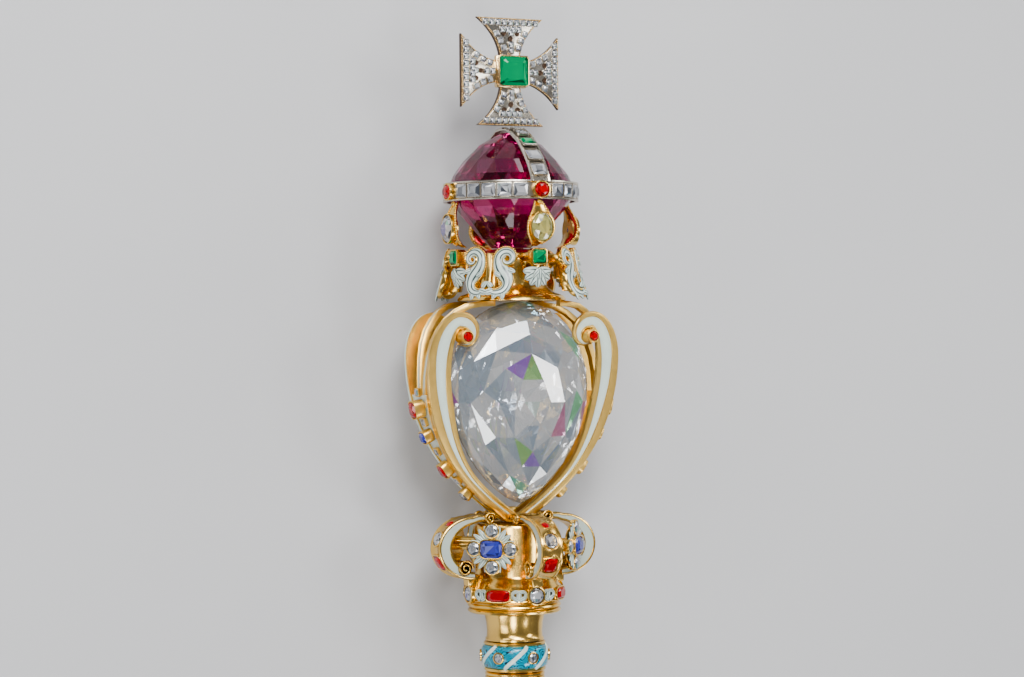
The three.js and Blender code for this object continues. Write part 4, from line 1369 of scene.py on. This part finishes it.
class SCEPTRE_OT_seat(bpy.types.Operator):
    """Makes the globe's seat with its emeralds and shells, and the four pairs of scroll consoles"""

    bl_idname = "sceptre.seat"
    bl_label = "Seat and consoles"

    def execute(self, context):
        self.seat()
        for name, degrees in CORNERS.items():
            self.console("console_" + name, degrees)
        return {"FINISHED"}

    def seat(self):
        low, high = span("monde_seat")
        profile = [
            (0, low.y - 0.4), (12.2, low.y - 0.6), (15.3, low.y - 0.9), (15.9, low.y - 0.6), (15.7, low.y),
            (15.0, low.y + 0.8), (12.6, 841.9), (10.8, 843.2), (9.7, 845), (9.2, 847.2), (9.3, 849.5),
            (10.0, 851.6), (10.5, 852.5), (10.2, 853.3), (9.0, 853.9), (6.5, high.y), (0, high.y),
        ]
        piece = fresh()
        put(piece, kept(turned(profile, 64)), None, 0)
        leaf = kept(slab(leaf_outline(9.0, 5.2, 4), 0, 0.7, 0.25))
        for k in range(12):
            put(
                piece, leaf,
                at_side(30 * k + 15, 9.4, 843.0) @ Matrix.Rotation(
                    math.radians(90), 4, "Z",
                ) @ Matrix.Rotation(math.radians(-8), 4, "Y"),
                0,
            )
        rim = square_rim(4.2, 4.0, 0.3)
        lobe = frond(4.4, 2.9, 1.0, -0.8, 0.0, 0.42)
        tuft = frond(3.0, 1.7, 0.8, -0.3)
        for k in range(4):
            place = at_side(90 * k, 18.35, EMERALD_HEIGHT)
            set_stone(piece, place, step_cut(rim, 0.95, 1.6, 0.62), rim, -2.6, 0.3, 0, 1, 0.55)
            put(
                piece,
                kept(
                    slab(rectangle(-1.7, EMERALD_HEIGHT - 1.3, 1.7, EMERALD_HEIGHT + 1.3), 8.8, 16.0, 0.2)
                ),
                round_rod(90 * k), 0,
            )
            for step in range(-3, 4):
                a = math.radians(270 + 31 * step)
                put(
                    piece, lobe,
                    at_side(90 * k, 17.6, 847.6) @ Matrix.Rotation(a, 4, "Z") @ move(
                        0.1, 0, -0.12 * abs(step),
                    ),
                    2,
                )
            for step in (-1, 0, 1):
                a = math.radians(270 + 40 * step)
                put(
                    piece, tuft,
                    at_side(90 * k, 18.0, 848.3) @ Matrix.Rotation(a, 4, "Z") @ move(
                        0.1, 0, 0.25 - 0.1 * abs(step),
                    ),
                    2,
                )
            put(
                piece,
                kept(slab(rectangle(-1.1, EMERALD_HEIGHT - 6, 1.1, EMERALD_HEIGHT - 1), 14.2, 16.2, 0.2)),
                round_rod(90 * k), 0,
            )
        nodes = ["monde_seat"] + ["emerald_" + side for side in SIDES]
        hand_over(piece, "monde_seat_dressed", ["gold", "emerald", "lined_enamel"], nodes)

    def console(self, node, degrees):
        line = scroll_line()
        left = normals([(x, h) for x, h, _ in line])
        sections, ridge = [], []
        for i, ((x, h, half), (nx, nh)) in enumerate(zip(line, left)):
            lift = 0.9 * smooth(22, 0, i) + 1.3 * smooth(36, 50, i)
            shape = [
                (-half, -1.0), (-half, 0.15), (-half + 0.2, 0.4), (-half + 0.42, 0.25), (-0.5 * half, 0.85),
                (0, 1.05), (0.5 * half, 0.85), (half - 0.25, 0.4), (half, 0.1), (half, -1.0),
            ]
            sections.append(
                [(x + nx * u, h + nh * u, v * min(1.0, 0.45 + 0.4 * half) + lift) for u, v in shape]
            )
            ridge.append(
                (x - nx * (half - 0.08), h - nh * (half - 0.08), 0.4 * min(1.0, 0.45 + 0.4 * half) + lift)
            )
        map_across = [0, 0, 0, 0.02, 0.28, 0.5, 0.72, 0.98, 1, 1, 1]
        scroll = kept(carried(sections, [0, 0, 0, 1, 1, 1, 1, 0, 0, 0], across=map_across), 50)
        leaf, sprig = frond(2.9, 1.9, 0.9, 0.5), frond(2.2, 1.5, 0.7, 0.3)
        both = fresh()
        for way in (1, -1):
            place = round_rod(10 * way) @ Matrix.Scale(way, 4, (1, 0, 0)) @ move(
                0, CONSOLE_FOOT, CONSOLE_RADIUS,
            )
            put(both, scroll, place)
            strung = fresh()
            beads(strung, ridge[16:], 0.3, 0)
            put(both, kept(strung, 60), place, 0)
            for x, h, n, a, shape in (
                (-1.4, 2.0, 1.3, 195, leaf), (-0.4, 1.6, 1.1, 240, sprig), (1.2, 1.6, 0.8, 275, sprig),
                (-1.9, 3.0, 0.9, 130, sprig), (0.4, 6.2, 0.4, 150, sprig), (2.5, 8.0, 0.3, -20, sprig),
            ):
                put(both, shape, place @ move(x, h, n) @ Matrix.Rotation(math.radians(a), 4, "Z"), 1)
        put(both, kept(slab(rectangle(-1.5, 842.2, 1.5, 851.8), 13.0, 16.4, 0.4)), None, 0)
        put(both, kept(slab(rectangle(-0.8, 841.5, 0.8, 853.1), 15.4, 18.4, 0.3)), None, 0)
        lean = Matrix(((1, 0, 0, 0), (0, 1, 0, 0), (0, -0.22, 1, 0.22 * 855), (0, 0, 0, 1)))
        both.transform(round_rod(degrees) @ lean)
        hand_over(both, node + "_dressed", ["gold", "lined_enamel"], [node])


# ---- Globe ----------------------------------------------------------------------------------------
BAND_HEIGHT = 871.0


class SCEPTRE_OT_globe(bpy.types.Operator):
    """Cuts the amethyst globe and makes its stone-set band, its arch and the four pendants"""

    bl_idname = "sceptre.globe"
    bl_label = "Globe, band and pendants"

    def execute(self, context):
        self.globe()
        self.band()
        for name, degrees in SIDES.items():
            self.pendant("pendant_" + name, degrees, name == "front")
        return {"FINISHED"}

    def globe(self):
        rows = (
            (3.0, 888.35, 8), (9.2, 884.9, 16), (13.9, 880.1, 16), (16.9, 876.0, 32), (18.0, 873.4, 32),
            (18.0, 869.4, 32), (16.2, 866.6, 16), (12.6, 862.4, 16), (8.6, 857.5, 16), (5.6, 854.85, 8),
        )
        points = []
        for row, (radius, height, sides) in enumerate(rows):
            for k in range(sides):
                a = 2 * math.pi * (k + (row % 2) / 2) / sides
                points.append((radius * math.cos(a), height, radius * math.sin(a)))
        piece = fresh()
        put(piece, hull(points))
        hand_over(piece, "amethyst_globe_cut", ["amethyst"], ["amethyst_globe"])

    def band(self):
        piece = fresh()
        bottom, top = 868.2, 873.8
        profile = [
            (18.65, bottom + 0.1), (19.75, bottom + 0.1), (19.8, bottom + 0.45), (19.55, bottom + 0.75),
            (19.3, bottom + 0.95), (19.3, top - 0.95), (19.55, top - 0.75), (19.8, top - 0.45),
            (19.75, top - 0.1), (18.65, top - 0.1),
        ]
        put(piece, kept(turned(profile, 96, True), 30), None, 0)
        red = round_rim(4.5, 4.1)
        square = square_rim(4.1, 3.7, 0.16)
        for k in range(4):
            set_stone(
                piece, at_side(90 * k, 20.35, BAND_HEIGHT), brilliant(red, 1.1, 1.0), red, -1.3, 0.3, 1, 2,
                0.55,
            )
            for j in range(5):
                angle = 90 * k + 17.4 + 13.8 * j
                set_stone(
                    piece, at_side(angle, 19.55, BAND_HEIGHT), brilliant(square, 0.5, 1.0, 0.5), square,
                    -0.6, 0.12, 0, 3, 0.25,
                )
        self.arch(piece)
        nodes = ["monde_band"] + ["ruby_band_" + side for side in SIDES]
        hand_over(
            piece, "monde_band_dressed", ["silver", "gold", "ruby", "diamond", "emerald"], nodes,
        )

    def arch(self, piece):
        half = size("arch_width") / 2
        rise = [
            (19.0, 873.2), (18.6, 874.9), (17.1, 877.4), (14.6, 880.7), (12.2, 883.3), (9.6, 885.6),
            (6.4, 887.4), (3.2, 888.9), (0, 889.1),
        ]
        route = rise + [(-n, h) for n, h in reversed(rise[:-1])]
        out = [(-a, -b) for a, b in normals(route)]
        sections = []
        for (n, h), (on, oh) in zip(route, out):
            shape = [
                (-half, 0.05), (-half, 0.5), (-half + 0.3, 0.95), (-half + 0.75, 0.8), (-half + 0.9, 0.5),
                (half - 0.9, 0.5), (half - 0.75, 0.8), (half - 0.3, 0.95), (half, 0.5), (half, 0.05),
            ]
            sections.append([(x, h + oh * v, n + on * v) for x, v in shape])
        put(piece, kept(carried(sections), 30), None, 0)
        for way in (1, -1):
            turn = round_rod(0 if way > 0 else 180)
            for n, h, across, along, index in (
                (18.1, 876.5, 4.3, 4.0, 3), (15.1, 880.8, 4.4, 4.2, 3), (11.2, 884.9, 4.3, 3.9, 4),
                (7.2, 887.6, 3.2, 2.9, 3), (3.9, 889.1, 2.6, 2.4, 3),
            ):
                slope = math.atan2(h - 860.0, n * 1.15)
                rim = square_rim(across, along, 0.2)
                place = turn @ move(0, h, n) @ Matrix.Rotation(-slope, 4, "X") @ move(0, 0, 0.55)
                set_stone(piece, place, brilliant(rim, 0.5, 0.9, 0.55), rim, -0.8, 0.12, 0, index, 0.3)

    def pendant(self, node, degrees, yellow):
        piece = fresh()
        leaf = (
            (855.0, 0.8, 15.0), (855.8, 1.6, 16.6), (856.8, 2.8, 17.9), (858.2, 3.9, 18.8),
            (860, 4.4, 19.3), (861.8, 4.2, 19.4), (863.6, 3.3, 19.1), (865.4, 2.2, 18.6),
            (867.0, 1.4, 17.9), (868.0, 1.0, 17.4),
        )
        sections = []
        for h, half, n in leaf:
            shape = [
                (-half, 0.1), (-half + 0.15, 0.35), (-0.5 * half, 0.1), (0, 0.0), (0.5 * half, 0.1),
                (half - 0.15, 0.35), (half, 0.1), (0.8 * half, -0.5), (0, -0.75), (-0.8 * half, -0.5),
            ]
            sections.append([(u, h, n + v) for u, v in shape])
        put(piece, kept(carried(sections), 50), None, 0)
        for flip in (1, -1):
            beads(piece, [(flip * half * 0.96, h, n + 0.3) for h, half, n in leaf[1:]], 0.42, 0, 1.9)
        put(piece, bead_shape(), move(0, 867.6, 18.3) @ Matrix.Scale(0.8, 4), 0)
        rim = round_rim(6.9, 8.0, 20)
        stone = brilliant(rim, 1.4, 2.0, 0.5)
        set_stone(piece, move(0, 860.3, 20.35), stone, rim, -1.8, 0.4, 0, 1 if yellow else 2, 0.45)
        piece.transform(round_rod(degrees))
        nodes = [node] + (["yellow_diamond_front"] if yellow else [])
        hand_over(piece, node + "_dressed", ["gold", "yellow_diamond", "diamond"], nodes)


# ---- Cross ----------------------------------------------------------------------------------------
class SCEPTRE_OT_cross(bpy.types.Operator):
    """Makes the cross: four flared arms set with small stones and a square emerald"""

    bl_idname = "sceptre.cross"
    bl_label = "Cross"

    def execute(self, context):
        low, high = span("cross")
        centre = (low.y + high.y) / 2
        end, flare, waist = (high.y - low.y) / 2, 10.7, 3.1
        side = [bezier((waist, waist + 0.6, waist + 0.4, 8.6, 6.4, 12.6, flare, end), t) for t in steps(18)]
        piece = fresh()

        outline = side + [(-x, d) for x, d in reversed(side)]
        body = kept(slab(outline, -1.15, 0.35, 0.18))
        inner = [(x - 0.4, d) for x, d in side if d < end - 0.6] + [(flare - 1.1, end - 0.4)]
        pad = kept(slab(inner + [(-x, d) for x, d in reversed(inner)], 0.2, 0.62, 0.2))
        stone_side = size("pave")
        rim = square_rim(0.94 * stone_side, 0.94 * stone_side, 0.3)
        small = brilliant(rim, 0.5, 0.5, 0.5)
        seat = kept(slab([(x * 1.06, y * 1.06) for x, y in rim], -0.6, 0.06, 0.06))

        def level(d):
            return 0.8 + 0.9 * max(0.0, 1 - d / end)

        stones = []
        for x, d in side[4:-1]:
            inset = 0.4 + 0.5 * stone_side
            stones.append((x - inset, d, 0.0))
        rows = [stones[0]]
        for one in stones[1:]:
            if math.dist(one[:2], rows[-1][:2]) > 0.97 * stone_side and one[1] < end - 1.9 * stone_side:
                rows.append(one)
        edge_row = [(sign * x, d, math.radians(-sign * 28 * d / end)) for x, d, _ in rows for sign in (1, -1)]
        across = 2 * (flare - 1.7)
        count = int(across / stone_side)
        end_row = [
            (across * ((j + 0.5) / count - 0.5), end - 0.45 - 0.5 * stone_side, 0.0) for j in range(count)
        ]
        middle_row = [(0.0, d, 0.0) for d in (6.0, 7.8, 11.3)]
        second = [(x, end - 0.55 - 1.55 * stone_side, 0.0) for x in (-2.7, -0.9, 0.9, 2.7)]
        gap = kept(button([(0, -0.2), (1.05, -0.2), (0.9, 0.12), (0.6, 0.02), (0, -0.05)], 16))
        for k in range(4):
            turn = move(0, centre, 0) @ Matrix.Rotation(math.radians(90 * k), 4, "Z")
            put(piece, body, turn, 0)
            put(piece, pad, turn, 1)
            for sign in (1, -1):
                beads(piece, [turn @ Vector((sign * (x - 0.18), d, 0.42)) for x, d in side[1:-1]], 0.22, 2)
            beads(
                piece,
                [
                    turn @ Vector(p)
                    for p in [(-flare + 0.5, end - 0.22, 0.42), (flare - 0.5, end - 0.22, 0.42)]
                ],
                0.22, 2,
            )
            for x, d, lean in edge_row + end_row + middle_row + second:
                place = turn @ move(x, d, level(d)) @ Matrix.Rotation(lean, 4, "Z")
                put(piece, seat, place, 1)
                put(piece, small, place, 3)
            for x, d in ((0, 9.6), (-2.2, 11.1), (2.2, 11.1)):
                put(piece, gap, turn @ move(x, d, 0.72) @ Matrix.Scale(0.8, 4), 5)
        middle = slab(rectangle(-4.9, -4.7, 4.9, 4.7), -0.6, 1.4, 0.5)
        put(piece, kept(middle), move(0, centre, 0), 2)
        rim = square_rim(9.2, 8.5, 0.14)
        set_stone(piece, move(0, centre, 2.75), step_cut(rim, 1.3, 1.9, 0.58), rim, -2.2, 0.35, 2, 4, 0.45)
        # The dark silver on the body stands partly for oxide and partly for painted shade on the cross's
        # sides.
        hand_over(
            piece, "cross_dressed",
            ["old_silver", "silver", "pale_gold", "diamond", "emerald", "old_silver"],
            ["cross", "emerald_cross"],
        )
        return {"FINISHED"}


# ---- Stage ----------------------------------------------------------------------------------------
class SCEPTRE_OT_stage(bpy.types.Operator):
    """Lays the pale floor and sets the studio lights and the camera"""

    bl_idname = "sceptre.stage"
    bl_label = "Stage"

    def execute(self, context):
        scene = context.scene
        part = bmesh.new()
        bmesh.ops.create_grid(part, x_segments=2, y_segments=2, size=6.0)
        mesh = bpy.data.meshes.new("floor")
        part.to_mesh(mesh)
        part.free()
        mesh.materials.append(finish("floor"))
        floor = bpy.data.objects.new("floor", mesh)
        floor.location.z = CAD_BOX[0].z - 0.0002
        scene.collection.objects.link(floor)

        world = bpy.data.worlds.new("studio")
        scene.world = world
        world.use_nodes = True
        world.node_tree.nodes["Background"].inputs[0].default_value = (0.75, 0.77, 0.80, 1)
        world.node_tree.nodes["Background"].inputs[1].default_value = 0.22
        head = Vector((0, 0.37, 0.025))
        boxes = [("key", 115, 55, 0.95, 5.5, 0.34, 0.34)]
        boxes += [(f"high_{k}", 72 * k + 10, 50, 1.0, 1.5, 0.26, 0.26) for k in range(5)]
        boxes += [(f"low_{k}", 60 * k + 20, 20, 1.05, 1.0, 0.14, 0.5) for k in range(6)]
        for name, round_, up, away, power, width, height in boxes:
            a, e = math.radians(round_), math.radians(up)
            place = head + away * Vector((math.cos(a) * math.cos(e), math.sin(a) * math.cos(e), math.sin(e)))
            data = bpy.data.lights.new(name, "AREA")
            data.shape, data.size, data.size_y, data.energy = "RECTANGLE", width, height, power
            light = bpy.data.objects.new(name, data)
            light.location = place
            light.rotation_euler = (head - place).to_track_quat("-Z", "Y").to_euler()
            scene.collection.objects.link(light)

        camera = bpy.data.objects.new("camera", bpy.data.cameras.new("camera"))
        camera.data.sensor_width = 36.0
        camera.data.lens = 87.9
        turn = math.radians(26.0)
        target = Vector((0, CAD_BOX[0].y + 0.8286, HOME.translation.z))
        back = Vector((-math.sin(turn), 0, math.cos(turn)))
        camera.location = target + 0.729 * back
        side = Vector((0, 1, 0)).cross(back)
        facing = Matrix((side, Vector((0, 1, 0)), back)).transposed()
        roll = Matrix.Rotation(math.radians(-0.5), 3, back)
        camera.rotation_euler = (roll @ facing).to_euler()
        camera.data.clip_start, camera.data.clip_end = 0.01, 50
        scene.collection.objects.link(camera)
        scene.camera = camera
        scene.view_settings.view_transform = "AgX"
        scene.view_settings.look = "AgX - Medium High Contrast"
        return {"FINISHED"}


class SCEPTRE_PT_panel(bpy.types.Panel):
    """Lists the sceptre's steps, sizes and colours"""

    bl_idname = "SCEPTRE_PT_panel"
    bl_label = "Sceptre"
    bl_space_type = "VIEW_3D"
    bl_region_type = "UI"
    bl_category = "Sceptre"

    def draw(self, context):
        for step in STEPS:
            self.layout.operator(step.bl_idname)
        for group in (context.scene.sceptre_sizes, context.scene.sceptre_colours):
            box = self.layout.box()
            for name in group.__annotations__:
                box.prop(group, name)


STEPS = (
    SCEPTRE_OT_rod, SCEPTRE_OT_crown, SCEPTRE_OT_heart, SCEPTRE_OT_seat, SCEPTRE_OT_globe, SCEPTRE_OT_cross,
    SCEPTRE_OT_stage,
)
CLASSES = (SceptreSizes, SceptreColours, *STEPS, SCEPTRE_PT_panel)


def register():
    for one in CLASSES:
        bpy.utils.register_class(one)
    bpy.types.Scene.sceptre_sizes = bpy.props.PointerProperty(type=SceptreSizes)
    bpy.types.Scene.sceptre_colours = bpy.props.PointerProperty(type=SceptreColours)


def unregister():
    del bpy.types.Scene.sceptre_colours
    del bpy.types.Scene.sceptre_sizes
    for one in reversed(CLASSES):
        bpy.utils.unregister_class(one)


def main():
    register()
    for step in STEPS:
        group, name = step.bl_idname.split(".")
        getattr(getattr(bpy.ops, group), name)()


if __name__ == "__main__":
    main()
